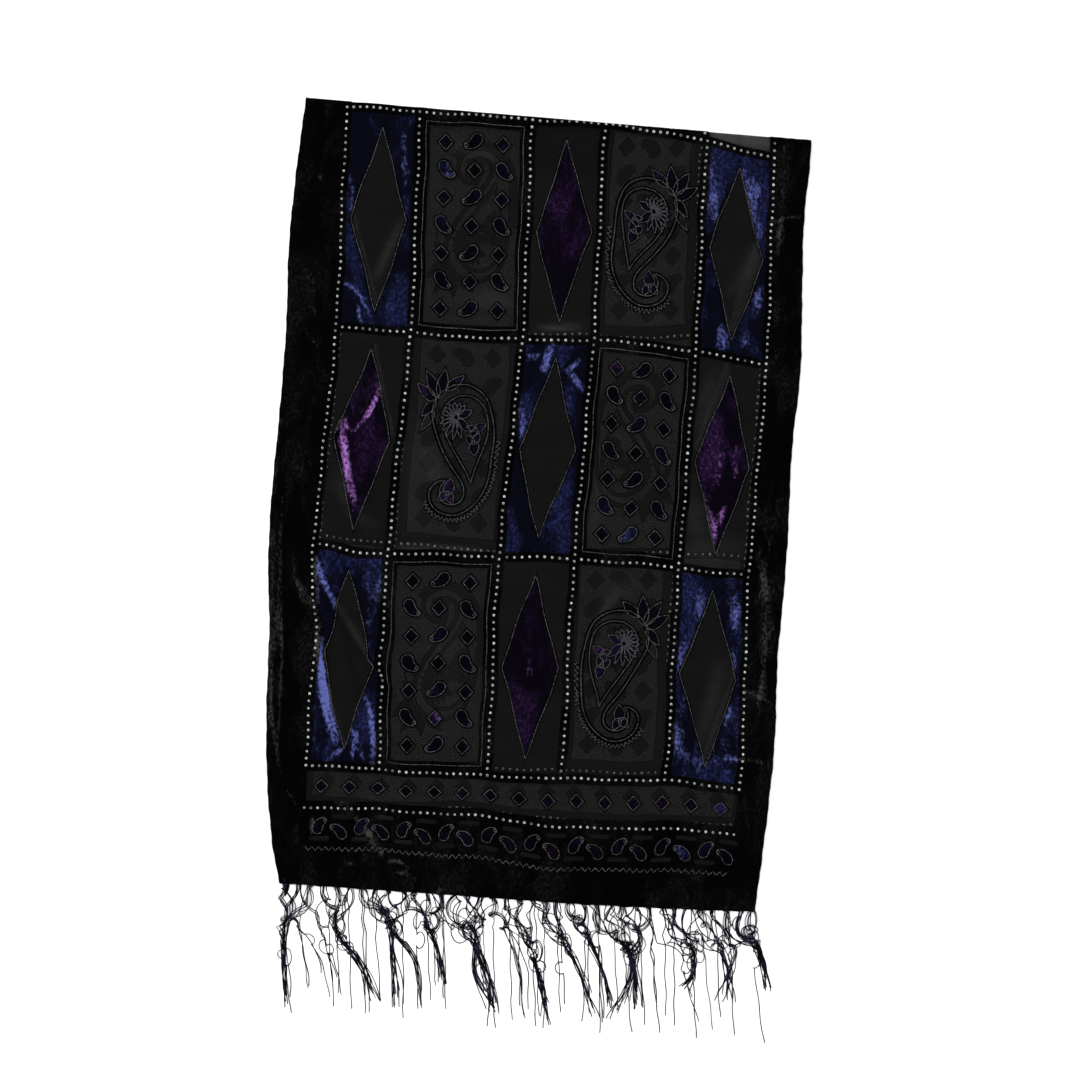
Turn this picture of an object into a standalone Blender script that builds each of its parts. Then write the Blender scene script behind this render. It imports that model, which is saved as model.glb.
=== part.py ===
"""A fringed velvet prayer shawl, folded once across its middle and laid flat.

The cloth is one long oblong, 0.52 m wide and 1.58 m long. It is folded in half, so a
front half lies on a back half, and the fold is a loose round bend at the +Y end. Both
short ends carry a fringe of thread tufts. Metres, +Z up, +Y towards the fold, and the
origin at the middle of the whole outline, on the surface that the shawl lies on.
"""

import math
from collections import namedtuple

import bmesh
import bpy
from mathutils import Vector

# The cloth
CLOTH_THICKNESS = 0.0012
HEM_THICKNESS = 0.0016
HEM_WIDTH = 0.005
LAYER_GAP = 0.0003
PATTERN_HALF_WIDTH = 0.2165
LEFT_BORDER = 0.050
RIGHT_BORDER = 0.040
FOLD_TO_HEM = 0.781

# The lay of the shawl on the surface
FOLD_Y = 0.453
FOLD_SLOPE = -0.014
BEND_RADIUS = 0.0032
BEND_RISE_LENGTH = 0.032
UNDER_TAIL = 0.006
EDGE_LIFT = 0.0007
EDGE_LIFT_WIDTH = 0.025
FIRST_LINE_Y = 0.450
SKEW_START = 0.050
TAKE_UP = 0.9962
SETTLE_HEIGHT = 0.0007
SETTLE_ACROSS = 0.047
SETTLE_BEND = 1.3
SETTLE_BEND_LENGTH = 0.110
SETTLE_ALONG = 0.071
SETTLE_SKEW = 0.190

# The resolution of the walls
DENSE_COLUMNS = 13
DENSE_END = -0.120
WIDE_COLUMNS = 17
PANEL_ROWS = 40
BEND_STEPS = 6
BACK_COLUMNS = 12
BACK_ROWS = 16

# The back half shows only at its lower left corner, which droops past the front half
BACK_INSET = 0.006
BACK_HEM_LEFT = -0.3270
BACK_HEM_RIGHT = -0.3180
BACK_CORNER_DROP = 0.0145
BACK_CORNER_WIDTH = 0.013

# The fringe
FRONT_TUFTS = 19
BACK_TUFTS = 18
TUFT_PITCH = 0.0260
FIRST_TUFT_X = -0.2260
STRANDS_PER_TUFT = 4
ROOT_WIDTH = 0.0012
ROOT_PITCH = 0.0021
BUNDLE_PITCH = 0.0017
STRIP_DEPTH = 0.0020
STRIP_HEIGHT = 0.0012
STRIP_END = 0.0010
STRAND_RADIUS = 0.0007
STRAND_STEPS = 7
STRAND_FLOOR = 0.0011
FRINGE_END_Y = -0.456
FRINGE_LEAN = 0.020
CORNER_LEAN = 0.012
CORNER_START = 0.183
CORNER_WIDTH = 0.070
SHORT_WAVE = 0.0040
SHORT_WAVE_LENGTH = 0.027
LONG_WAVE = 0.0050
LONG_WAVE_LENGTH = 0.061
TUFT_SWAY = 0.0022
GATHER_START = 0.05
GATHER_END = 0.35
SINK_START = 0.16
SINK_END = 0.42
SHORTEST = 0.78

# Rows of the flat cloth, by distance from the pattern's first cross line. The four
# places are those of its edges and of the pattern's outer lines once it is laid, and
# drop is how much lower the row lies at the pattern's right line than at its left one.
Section = namedtuple("Section", "from_fold left_edge left_line right_line right_edge drop")
SECTIONS = (
    Section(0.000, -0.2595, -0.2180, 0.2110, 0.2470, 0.0215),
    Section(0.060, -0.2635, -0.2170, 0.2130, 0.2450, 0.0185),
    Section(0.140, -0.2660, -0.2150, 0.2160, 0.2485, 0.0147),
    Section(0.220, -0.2630, -0.2135, 0.2180, 0.2520, 0.0105),
    Section(0.300, -0.2635, -0.2160, 0.2170, 0.2490, 0.0078),
    Section(0.400, -0.2660, -0.2200, 0.2155, 0.2510, 0.0042),
    Section(0.470, -0.2640, -0.2205, 0.2155, 0.2505, 0.0015),
    Section(0.520, -0.2590, -0.2190, 0.2170, 0.2490, -0.0008),
    Section(0.610, -0.2560, -0.2150, 0.2205, 0.2520, -0.0044),
    Section(0.680, -0.2500, -0.2120, 0.2200, 0.2500, -0.0040),
    Section(0.740, -0.2410, -0.2100, 0.2170, 0.2465, -0.0022),
    Section(0.781, -0.2310, -0.2100, 0.2165, 0.2440, -0.0035),
)

# Each crease is a soft ridge along a curve through three points of the plan
Crease = namedtuple("Crease", "start middle end width height")
CREASES = (
    Crease((-0.242, 0.072), (-0.234, 0.040), (-0.222, 0.010), 0.009, 0.0030),
    Crease((-0.236, 0.012), (-0.190, -0.050), (-0.132, -0.122), 0.009, 0.0050),
    Crease((-0.238, -0.018), (-0.208, -0.094), (-0.176, -0.188), 0.009, 0.0046),
    Crease((-0.158, -0.128), (-0.149, -0.162), (-0.145, -0.188), 0.009, 0.0038),
    Crease((-0.258, 0.062), (-0.253, -0.070), (-0.241, -0.200), 0.008, 0.0040),
    Crease((-0.250, -0.186), (-0.246, -0.231), (-0.232, -0.312), 0.008, 0.0034),
    Crease((-0.252, 0.018), (-0.243, -0.090), (-0.236, -0.190), 0.008, 0.0026),
    Crease((-0.238, -0.216), (-0.226, -0.238), (-0.210, -0.272), 0.009, 0.0036),
    Crease((-0.180, -0.240), (-0.168, -0.249), (-0.158, -0.262), 0.012, 0.0036),
    Crease((-0.157, -0.258), (-0.143, -0.272), (-0.130, -0.298), 0.009, 0.0034),
    Crease((-0.122, -0.301), (-0.109, -0.306), (-0.096, -0.302), 0.011, 0.0020),
    Crease((-0.258, 0.420), (-0.261, 0.280), (-0.261, 0.150), 0.008, 0.0024),
    Crease((-0.254, 0.170), (-0.236, 0.124), (-0.219, 0.084), 0.010, 0.0032),
    Crease((-0.247, 0.230), (-0.233, 0.202), (-0.211, 0.203), 0.010, 0.0026),
    Crease((-0.178, 0.172), (-0.188, 0.136), (-0.191, 0.088), 0.010, 0.0044),
    Crease((-0.206, 0.277), (-0.194, 0.258), (-0.176, 0.240), 0.010, 0.0028),
    Crease((0.245, -0.046), (0.238, -0.084), (0.231, -0.104), 0.010, 0.0034),
    Crease((0.215, -0.104), (0.232, -0.108), (0.248, -0.116), 0.011, 0.0030),
    Crease((0.190, -0.176), (0.218, -0.171), (0.248, -0.175), 0.012, 0.0024),
    Crease((0.219, 0.412), (0.225, 0.350), (0.221, 0.262), 0.013, 0.0022),
    Crease((0.209, 0.362), (0.226, 0.369), (0.246, 0.374), 0.013, 0.0018),
    Crease((0.000, 0.230), (0.016, 0.206), (0.032, 0.188), 0.014, 0.0020),
    Crease((-0.070, -0.205), (0.000, -0.214), (0.070, -0.204), 0.018, 0.0016),
    Crease((0.080, 0.330), (0.094, 0.276), (0.086, 0.236), 0.016, 0.0016),
)
CURVE_SAMPLES = 10


def smooth_step(start, end, value):
    """0 before start, 1 after end, with a soft ramp between them."""
    share = min(1.0, max(0.0, (value - start) / (end - start)))
    return share * share * (3.0 - 2.0 * share)


def section_value(column, from_fold):
    """A column of SECTIONS read on a smooth curve through its rows."""
    rows = [row.from_fold for row in SECTIONS]
    values = [getattr(row, column) for row in SECTIONS]
    if from_fold <= rows[0]:
        return values[0]
    if from_fold >= rows[-1]:
        return values[-1]
    after = next(i for i, row in enumerate(rows) if row >= from_fold)
    before = after - 1
    span = rows[after] - rows[before]
    share = (from_fold - rows[before]) / span
    slopes = []
    for i in (before, after):
        low, high = max(0, i - 1), min(len(rows) - 1, i + 1)
        slopes.append((values[high] - values[low]) / (rows[high] - rows[low]))
    two, three = share * share, share * share * share
    return (
        (2 * three - 3 * two + 1) * values[before]
        + (three - 2 * two + share) * span * slopes[0]
        + (3 * two - 2 * three) * values[after]
        + (three - two) * span * slopes[1]
    )


def fold_y(x):
    return FOLD_Y + FOLD_SLOPE * x


def drop_at(across, from_fold):
    """How far a row bends down to the right, where the cloth lies askew and rumpled."""
    beyond = max(0.0, across - SKEW_START) / (PATTERN_HALF_WIDTH - SKEW_START)
    return section_value("drop", from_fold) * min(1.2, beyond) ** 1.5


def plan_x(across, from_fold):
    """Side place of a point of the flat cloth once it is laid out."""
    left_line = section_value("left_line", from_fold)
    right_line = section_value("right_line", from_fold)
    if across < -PATTERN_HALF_WIDTH:
        share = -(across + PATTERN_HALF_WIDTH) / LEFT_BORDER
        return left_line + (section_value("left_edge", from_fold) - left_line) * share
    if across > PATTERN_HALF_WIDTH:
        share = (across - PATTERN_HALF_WIDTH) / RIGHT_BORDER
        return right_line + (section_value("right_edge", from_fold) - right_line) * share
    share = (across + PATTERN_HALF_WIDTH) / (PATTERN_HALF_WIDTH * 2)
    return left_line + (right_line - left_line) * share


def plan_y(across, from_fold):
    return FIRST_LINE_Y - from_fold * TAKE_UP - drop_at(across, from_fold)


def curve_points(crease):
    """Points on the smooth curve through a crease's three points."""
    start, middle, end = (Vector(p) for p in (crease.start, crease.middle, crease.end))
    control = 2.0 * middle - 0.5 * (start + end)
    found = []
    for step in range(CURVE_SAMPLES + 1):
        t = step / CURVE_SAMPLES
        found.append((1 - t) ** 2 * start + 2 * t * (1 - t) * control + t * t * end)
    return found


CREASE_CURVES = [(crease, curve_points(crease)) for crease in CREASES]


def crease_height(x, y):
    """Height of the soft ridges over the level cloth at one place of the plan."""
    place, height = Vector((x, y)), 0.0
    for crease, points in CREASE_CURVES:
        nearest, along = 1.0, 0.0
        for i in range(CURVE_SAMPLES):
            step = points[i + 1] - points[i]
            share = min(1.0, max(0.0, (place - points[i]).dot(step) / step.length_squared))
            distance = (points[i] + share * step - place).length
            if distance < nearest:
                nearest, along = distance, (i + share) / CURVE_SAMPLES
        taper = 0.25 + 0.75 * math.sin(math.pi * along)
        height += crease.height * taper * math.exp(-((nearest / crease.width) ** 2))
    return height


def settle(x, y):
    """The slight unevenness that any laid cloth has, never below the level."""
    across = math.sin(x / SETTLE_ACROSS + SETTLE_BEND * math.sin(y / SETTLE_BEND_LENGTH))
    return SETTLE_HEIGHT * (1.0 + across * math.sin(y / SETTLE_ALONG + x / SETTLE_SKEW))


def edge_lift(across, from_fold):
    """The front half rises a little to pass over the hem of the back half."""
    left = across + PATTERN_HALF_WIDTH + LEFT_BORDER
    right = PATTERN_HALF_WIDTH + RIGHT_BORDER - across
    nearest = min(left, right, FOLD_TO_HEM - from_fold)
    return EDGE_LIFT * (1.0 - smooth_step(EDGE_LIFT_WIDTH * 0.6, EDGE_LIFT_WIDTH, nearest))


def front_height(across, from_fold, x, y):
    """Height of the middle of the front half's wall."""
    level = CLOTH_THICKNESS + LAYER_GAP + CLOTH_THICKNESS / 2
    bend_top = BEND_RADIUS * 2 - CLOTH_THICKNESS / 2
    into_bend = 1.0 - smooth_step(0.0, BEND_RISE_LENGTH, fold_y(x) - BEND_RADIUS - y)
    free = (edge_lift(across, from_fold) + settle(x, y) + crease_height(x, y)) * (1.0 - into_bend)
    return level + (bend_top - level) * into_bend + free


def front_stations():
    """Places across the flat cloth of the front half's columns, close where it is creased."""
    left = -PATTERN_HALF_WIDTH - LEFT_BORDER
    right = PATTERN_HALF_WIDTH + RIGHT_BORDER
    dense_start, wide_end = left + HEM_WIDTH, right - HEM_WIDTH
    dense = [
        dense_start + (DENSE_END - dense_start) * i / DENSE_COLUMNS for i in range(DENSE_COLUMNS + 1)
    ]
    wide = [DENSE_END + (wide_end - DENSE_END) * i / WIDE_COLUMNS for i in range(1, WIDE_COLUMNS + 1)]
    return [left, *dense, *wide, right]


def front_point(across, row):
    """One point of the middle surface: row 0 is the hem and the last row is under the fold."""
    fold_x = plan_x(across, 0.0)
    centre_y = fold_y(fold_x) - BEND_RADIUS
    top_from_fold = (FIRST_LINE_Y - drop_at(across, 0.0) - centre_y) / TAKE_UP
    if row <= PANEL_ROWS + 1:
        if row == 0:
            from_fold = FOLD_TO_HEM
        else:
            share = (row - 1) / PANEL_ROWS
            start = FOLD_TO_HEM - HEM_WIDTH
            from_fold = start + (top_from_fold - start) * share
        x, y = plan_x(across, from_fold), plan_y(across, from_fold)
        return Vector((x, y, front_height(across, from_fold, x, y)))
    radius = BEND_RADIUS - CLOTH_THICKNESS / 2
    step = min(row - PANEL_ROWS - 1, BEND_STEPS)
    angle = math.pi / 2 - math.pi * step / BEND_STEPS
    y, z = centre_y + radius * math.cos(angle), BEND_RADIUS + radius * math.sin(angle)
    if row > PANEL_ROWS + 1 + BEND_STEPS:
        y -= UNDER_TAIL
    return Vector((fold_x, y, z))


def grid_sheet(name, columns, rows, hemmed_rows, point_at, material):
    """An open sheet of columns by rows cells, with each grid point moved to point_at.

    Its side hems are marked as far as hemmed_rows, and the hem at its first row too.
    """
    sheet = bmesh.new()
    bmesh.ops.create_grid(sheet, x_segments=columns, y_segments=rows, size=0.5)
    rim = []
    for vertex in sheet.verts:
        column = round((vertex.co.x + 0.5) * columns)
        row = round((vertex.co.y + 0.5) * rows)
        at_side = column in (0, 1, columns - 1, columns) and row <= hemmed_rows
        if at_side or row in (0, 1):
            rim.append(vertex.index)
        vertex.co = point_at(column, row)
    mesh = bpy.data.meshes.new(name)
    sheet.to_mesh(mesh)
    sheet.free()
    mesh.materials.append(material)
    made = bpy.data.objects.new(name, mesh)
    group = made.vertex_groups.new(name="hem")
    group.add(rim, 1.0, "REPLACE")
    return made


def give_thickness(sheet, side):
    """Thickens an open sheet to the cloth's wall, and more along its hems."""
    wall = sheet.modifiers.new("wall", "SOLIDIFY")
    wall.thickness = HEM_THICKNESS
    wall.offset = side
    wall.vertex_group = "hem"
    wall.thickness_vertex_group = CLOTH_THICKNESS / HEM_THICKNESS


def make_front_half(collection, material):
    stations = front_stations()
    rows = PANEL_ROWS + 1 + BEND_STEPS + 1
    sheet = grid_sheet(
        "front_half",
        len(stations) - 1,
        rows,
        PANEL_ROWS,
        lambda column, row: front_point(stations[column], row),
        material,
    )
    give_thickness(sheet, 0.0)
    collection.objects.link(sheet)


def back_edges(from_fold):
    """The side edges of the back half, a little inside those of the front half."""
    left = section_value("left_edge", from_fold) + BACK_INSET
    right = section_value("right_edge", from_fold) - BACK_INSET
    return left, right


def back_hem_y(share):
    """Where the back half's hem lies; its left corner hangs lower."""
    width = PATTERN_HALF_WIDTH * 2 + LEFT_BORDER + RIGHT_BORDER
    corner = 1.0 - smooth_step(0.0, BACK_CORNER_WIDTH, share * width)
    level = BACK_HEM_LEFT + (BACK_HEM_RIGHT - BACK_HEM_LEFT) * share
    return level - BACK_CORNER_DROP * corner


def back_stations():
    """Places across the back half's columns, as shares of its width."""
    width = PATTERN_HALF_WIDTH * 2 + LEFT_BORDER + RIGHT_BORDER
    start, end = BACK_CORNER_WIDTH, width - HEM_WIDTH
    wide = [start + (end - start) * i / BACK_COLUMNS for i in range(BACK_COLUMNS + 1)]
    return [place / width for place in (0.0, HEM_WIDTH, BACK_CORNER_WIDTH * 0.7, *wide, width)]


def back_point(share, row):
    """One point of the back half's underside: row 0 is its hem, the last row its seam."""
    left, right = back_edges(0.0)
    seam_y = fold_y(left + (right - left) * share) - BEND_RADIUS - UNDER_TAIL - LAYER_GAP
    hem_y = back_hem_y(share)
    if row == 0:
        y = hem_y
    else:
        y = hem_y + HEM_WIDTH + (seam_y - hem_y - HEM_WIDTH) * (row - 1) / (BACK_ROWS - 1)
    left, right = back_edges(min(FOLD_TO_HEM, max(0.0, FIRST_LINE_Y - y)))
    return Vector((left + (right - left) * share, y, 0.0))


def make_back_half(collection, material):
    stations = back_stations()
    sheet = grid_sheet(
        "back_half",
        len(stations) - 1,
        BACK_ROWS,
        BACK_ROWS,
        lambda column, row: back_point(stations[column], row),
        material,
    )
    give_thickness(sheet, 1.0)
    collection.objects.link(sheet)


def hem_line(points, height):
    """Reads the straight-line run of a wall's hem edge at any place across."""

    def read(x):
        after = next((i for i, p in enumerate(points) if p.x > x), len(points) - 1)
        start, end = points[max(0, after - 1)], points[max(1, after)]
        found = start + (end - start) * ((x - start.x) / (end.x - start.x))
        return found.y, found.z + height

    return read


def common_drift(x, share):
    """How far every thread near x has drifted sideways, a share of the way down."""
    lean = FRINGE_LEAN * (share - 0.10 * math.sin(2 * math.pi * share))
    corner = CORNER_LEAN * smooth_step(CORNER_START, CORNER_START + CORNER_WIDTH, x)
    wave = SHORT_WAVE * math.sin(x / SHORT_WAVE_LENGTH + 2.2 * share)
    wave += LONG_WAVE * math.sin(x / LONG_WAVE_LENGTH + 0.8)
    return lean + corner * share**0.7 + wave * share


def tuft_sway(tuft, share):
    """The slack S of one tuft, small enough for it to stay in its own lane."""
    bend = math.sin(2 * math.pi * share * (0.8 + 0.12 * (tuft % 4)) + 1.7 * tuft)
    return TUFT_SWAY * bend * math.sin(math.pi * min(1.0, 1.6 * share) / 2)


def strand_spacing(share):
    """Threads leave the hem side by side and soon lie together as a bundle."""
    return ROOT_PITCH + (BUNDLE_PITCH - ROOT_PITCH) * smooth_step(GATHER_START, GATHER_END, share)


def strand_length(tuft, strand, longest):
    short = 0.5 + 0.5 * math.sin(2.3 * tuft + 1.9 * strand)
    return longest * (1.0 - (1.0 - SHORTEST) * short)


def strand_ring(bm, centre, direction, radius):
    """Three points round the thread's centre, square to its direction."""
    right = Vector((0.0, 0.0, 1.0)).cross(direction).normalized()
    up = direction.cross(right)
    return [
        bm.verts.new(centre + radius * (math.cos(turn) * right + math.sin(turn) * up))
        for turn in (math.radians(150), math.radians(30), math.radians(-90))
    ]


def add_strand(bm, root, start, tuft, strand, reach):
    """A thread of three sides that grows out of the root triangle of the strip."""
    offset = strand - (STRANDS_PER_TUFT - 1) / 2
    middle_x = start.x - offset * ROOT_PITCH

    def centre(share):
        moved = common_drift(middle_x, share) + tuft_sway(tuft, share)
        moved += offset * (strand_spacing(share) - ROOT_PITCH)
        sink = smooth_step(SINK_START, SINK_END, share)
        z = start.z + (STRAND_FLOOR - start.z) * sink
        return Vector((start.x + moved, start.y - reach * share, z))

    ring = root
    for step in range(1, STRAND_STEPS + 1):
        share = step / STRAND_STEPS
        direction = (centre(share + 0.05) - centre(share - 0.05)).normalized()
        tip = 1.0 - 0.35 * smooth_step(0.7, 1.0, share)
        after = strand_ring(bm, centre(share), direction, STRAND_RADIUS * tip)
        for i in range(3):
            j = (i + 1) % 3
            bm.faces.new((ring[i], after[i], after[j], ring[j]))
        ring = after
    bm.faces.new((ring[0], ring[2], ring[1]))


def make_fringe(collection, name, hem_at, tufts, first_tuft_x, material):
    """One strip along a hem, 0.3 mm off it, with every thread grown out of it."""
    bm = bmesh.new()
    roots = []
    for tuft in range(tufts):
        for strand in range(STRANDS_PER_TUFT):
            middle = first_tuft_x + tuft * TUFT_PITCH
            middle += (strand - (STRANDS_PER_TUFT - 1) / 2) * ROOT_PITCH
            roots.append((middle, tuft, strand))
    stations = [(roots[0][0] - STRIP_END, None)]
    for root in roots:
        stations.append((root[0] - ROOT_WIDTH / 2, root))
        stations.append((root[0] + ROOT_WIDTH / 2, None))
    stations.append((roots[-1][0] + STRIP_END, None))

    sections = []
    for x, _ in stations:
        hem_y, z = hem_at(x)
        near, far = hem_y - LAYER_GAP, hem_y - LAYER_GAP - STRIP_DEPTH
        low, high = z - STRIP_HEIGHT / 2, z + STRIP_HEIGHT / 2
        corners = ((near, low), (near, high), (far, high), (far, low))
        sections.append([bm.verts.new((x, y, height)) for y, height in corners])
    bm.faces.new(sections[0])
    bm.faces.new(reversed(sections[-1]))
    for i in range(len(stations) - 1):
        here, after = sections[i], sections[i + 1]
        for side in (0, 1, 3):
            other = (side + 1) % 4
            bm.faces.new((here[side], after[side], after[other], here[other]))
        root = stations[i][1]
        if root is None:
            bm.faces.new((here[2], after[2], after[3], here[3]))
            continue
        bm.faces.new((here[2], after[3], here[3]))
        middle, tuft, strand = root
        start = Vector((middle, (here[2].co.y + after[2].co.y) / 2, (here[2].co.z + here[3].co.z) / 2))
        reach = strand_length(tuft, strand, start.y - FRINGE_END_Y)
        add_strand(bm, [here[2], after[2], after[3]], start, tuft, strand, reach)
    mesh = bpy.data.meshes.new(name)
    bmesh.ops.recalc_face_normals(bm, faces=bm.faces)
    bm.to_mesh(mesh)
    bm.free()
    mesh.materials.append(material)
    collection.objects.link(bpy.data.objects.new(name, mesh))


def plain_material(name, colour, roughness):
    material = bpy.data.materials.new(name)
    material.use_nodes = True
    shader = material.node_tree.nodes["Principled BSDF"]
    shader.inputs["Base Color"].default_value = (*colour, 1.0)
    shader.inputs["Roughness"].default_value = roughness
    shader.inputs["Metallic"].default_value = 0.0
    return material


def main():
    for old in list(bpy.data.objects):
        bpy.data.objects.remove(old)
    shawl = bpy.data.collections.new("prayer_shawl")
    bpy.context.scene.collection.children.link(shawl)
    velvet = plain_material("black_velvet", (0.012, 0.012, 0.016), 0.9)
    georgette = plain_material("black_georgette", (0.020, 0.020, 0.021), 0.8)
    thread = plain_material("fringe_thread", (0.020, 0.014, 0.040), 0.6)
    make_front_half(shawl, velvet)
    make_back_half(shawl, georgette)
    front_hem = [front_point(across, 0) for across in front_stations()]
    back_hem = [back_point(share, 0) for share in back_stations()]
    front_line = hem_line(front_hem, 0.0)
    back_line = hem_line(back_hem, HEM_THICKNESS / 2)
    make_fringe(shawl, "front_fringe", front_line, FRONT_TUFTS, FIRST_TUFT_X, thread)
    back_first = FIRST_TUFT_X + TUFT_PITCH / 2
    make_fringe(shawl, "back_fringe", back_line, BACK_TUFTS, back_first, thread)


main()
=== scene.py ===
"""The looks of a burnt-out velvet prayer shawl, folded once across and laid flat.

The flat cloth is drawn first, in millimetres, as one pattern of velvet and sheer areas.
It is then laid out over the same sections, bend and creases as the solids, in metres.
"""

import math
from collections import namedtuple

import bpy
import numpy as np
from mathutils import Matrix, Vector
from mathutils.geometry import delaunay_2d_cdt


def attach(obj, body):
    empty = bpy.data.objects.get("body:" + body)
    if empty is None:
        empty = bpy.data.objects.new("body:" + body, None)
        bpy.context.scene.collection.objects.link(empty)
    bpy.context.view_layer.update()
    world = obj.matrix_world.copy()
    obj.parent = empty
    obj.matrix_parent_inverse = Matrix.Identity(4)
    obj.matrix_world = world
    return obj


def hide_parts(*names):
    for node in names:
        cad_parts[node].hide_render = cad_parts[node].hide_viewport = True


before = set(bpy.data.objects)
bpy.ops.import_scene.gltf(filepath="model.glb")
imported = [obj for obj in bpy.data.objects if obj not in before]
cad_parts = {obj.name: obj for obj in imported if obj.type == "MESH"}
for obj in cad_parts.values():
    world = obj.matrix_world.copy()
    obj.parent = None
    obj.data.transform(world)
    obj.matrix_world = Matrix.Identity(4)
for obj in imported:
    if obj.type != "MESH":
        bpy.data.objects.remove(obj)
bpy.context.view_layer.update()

# The lay of the cloth, as in the solids
PATTERN_HALF_WIDTH = 0.2165
LEFT_BORDER = 0.050
RIGHT_BORDER = 0.040
FOLD_TO_HEM = 0.781
FOLD_Y = 0.453
FOLD_SLOPE = -0.014
BEND_RADIUS = 0.0032
BEND_RISE_LENGTH = 0.032
UNDER_TAIL = 0.006
EDGE_LIFT = 0.0007
EDGE_LIFT_WIDTH = 0.025
FIRST_LINE_Y = 0.450
SKEW_START = 0.050
TAKE_UP = 0.9962
SETTLE_HEIGHT = 0.0007
SETTLE_ACROSS = 0.047
SETTLE_BEND = 1.3
SETTLE_BEND_LENGTH = 0.110
SETTLE_ALONG = 0.071
SETTLE_SKEW = 0.190
BACK_INSET = 0.006
BACK_INSET_REACH = 0.03
BACK_HEM_LEFT = -0.3270
BACK_HEM_RIGHT = -0.3180
BACK_CORNER_DROP = 0.0145
BACK_CORNER_WIDTH = 0.013
FRINGE_END_Y = -0.456

# What the cloth is made of, through its thickness. The pile's top is inset from its foot by
# PILE_INSET, in mm, and by less at corners where its edges' normals add up to under PILE_CORNER.
GROUND_THICKNESS = 0.0004
PILE_HEIGHT = 0.00055
BACK_PILE_HEIGHT = 0.00050
PILE_FOOT = 0.00015
PILE_INSET = 0.35
PILE_CORNER = 0.6
PILE_TOP = GROUND_THICKNESS / 2 + PILE_HEIGHT
FRONT_MIDDLE = 0.00195
BEND_MIDDLE = 0.0008
BACK_MIDDLE = 0.0008

Section = namedtuple("Section", "from_fold left_edge left_line right_line right_edge drop")
SECTIONS = (
    Section(0.000, -0.2595, -0.2180, 0.2110, 0.2470, 0.0215),
    Section(0.060, -0.2635, -0.2170, 0.2130, 0.2450, 0.0185),
    Section(0.140, -0.2660, -0.2150, 0.2160, 0.2485, 0.0147),
    Section(0.220, -0.2630, -0.2135, 0.2180, 0.2520, 0.0105),
    Section(0.300, -0.2635, -0.2160, 0.2170, 0.2490, 0.0078),
    Section(0.400, -0.2660, -0.2200, 0.2155, 0.2510, 0.0042),
    Section(0.470, -0.2640, -0.2205, 0.2155, 0.2505, 0.0015),
    Section(0.520, -0.2590, -0.2190, 0.2170, 0.2490, -0.0008),
    Section(0.610, -0.2560, -0.2150, 0.2205, 0.2520, -0.0044),
    Section(0.680, -0.2500, -0.2120, 0.2200, 0.2500, -0.0040),
    Section(0.740, -0.2410, -0.2100, 0.2170, 0.2465, -0.0022),
    Section(0.781, -0.2310, -0.2100, 0.2165, 0.2440, -0.0035),
)

Stroke = namedtuple("Stroke", "start middle end width strength")


def stroke_table(rows):
    """Soft strokes on the laid cloth: rows of three places in mm, a width in metres and a strength."""
    return [Stroke(*(np.array(row[:6]).reshape(3, 2) / 1000), *row[6:]) for row in rows]


# Raised creases, as in the solids: their strength is their height
CREASES = stroke_table((
    (-242, 72, -234, 40, -222, 10, 0.009, 0.0030),
    (-236, 12, -190, -50, -132, -122, 0.009, 0.0050),
    (-238, -18, -208, -94, -176, -188, 0.009, 0.0046),
    (-158, -128, -149, -162, -145, -188, 0.009, 0.0038),
    (-258, 62, -253, -70, -241, -200, 0.008, 0.0040),
    (-250, -186, -246, -231, -232, -312, 0.008, 0.0034),
    (-252, 18, -243, -90, -236, -190, 0.008, 0.0026),
    (-238, -216, -226, -238, -210, -272, 0.009, 0.0036),
    (-180, -240, -168, -249, -158, -262, 0.012, 0.0036),
    (-157, -258, -143, -272, -130, -298, 0.009, 0.0034),
    (-122, -301, -109, -306, -96, -302, 0.011, 0.0020),
    (-258, 420, -261, 280, -261, 150, 0.008, 0.0024),
    (-254, 170, -236, 124, -219, 84, 0.010, 0.0032),
    (-247, 230, -233, 202, -211, 203, 0.010, 0.0026),
    (-178, 172, -188, 136, -191, 88, 0.010, 0.0044),
    (-206, 277, -194, 258, -176, 240, 0.010, 0.0028),
    (245, -46, 238, -84, 231, -104, 0.010, 0.0034),
    (215, -104, 232, -108, 248, -116, 0.011, 0.0030),
    (190, -176, 218, -171, 248, -175, 0.012, 0.0024),
    (219, 412, 225, 350, 221, 262, 0.013, 0.0022),
    (209, 362, 226, 369, 246, 374, 0.013, 0.0018),
    (0, 230, 16, 206, 32, 188, 0.014, 0.0020),
    (-70, -205, 0, -214, 70, -204, 0.018, 0.0016),
    (80, 330, 94, 276, 86, 236, 0.016, 0.0016),
))
CURVE_SAMPLES = 10
# The share of its strength that each kind of stroke keeps at its ends
CREASE_TAPER = 0.25
MARK_TAPER = 0.35
SHEER_TAPER = 0.5

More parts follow.
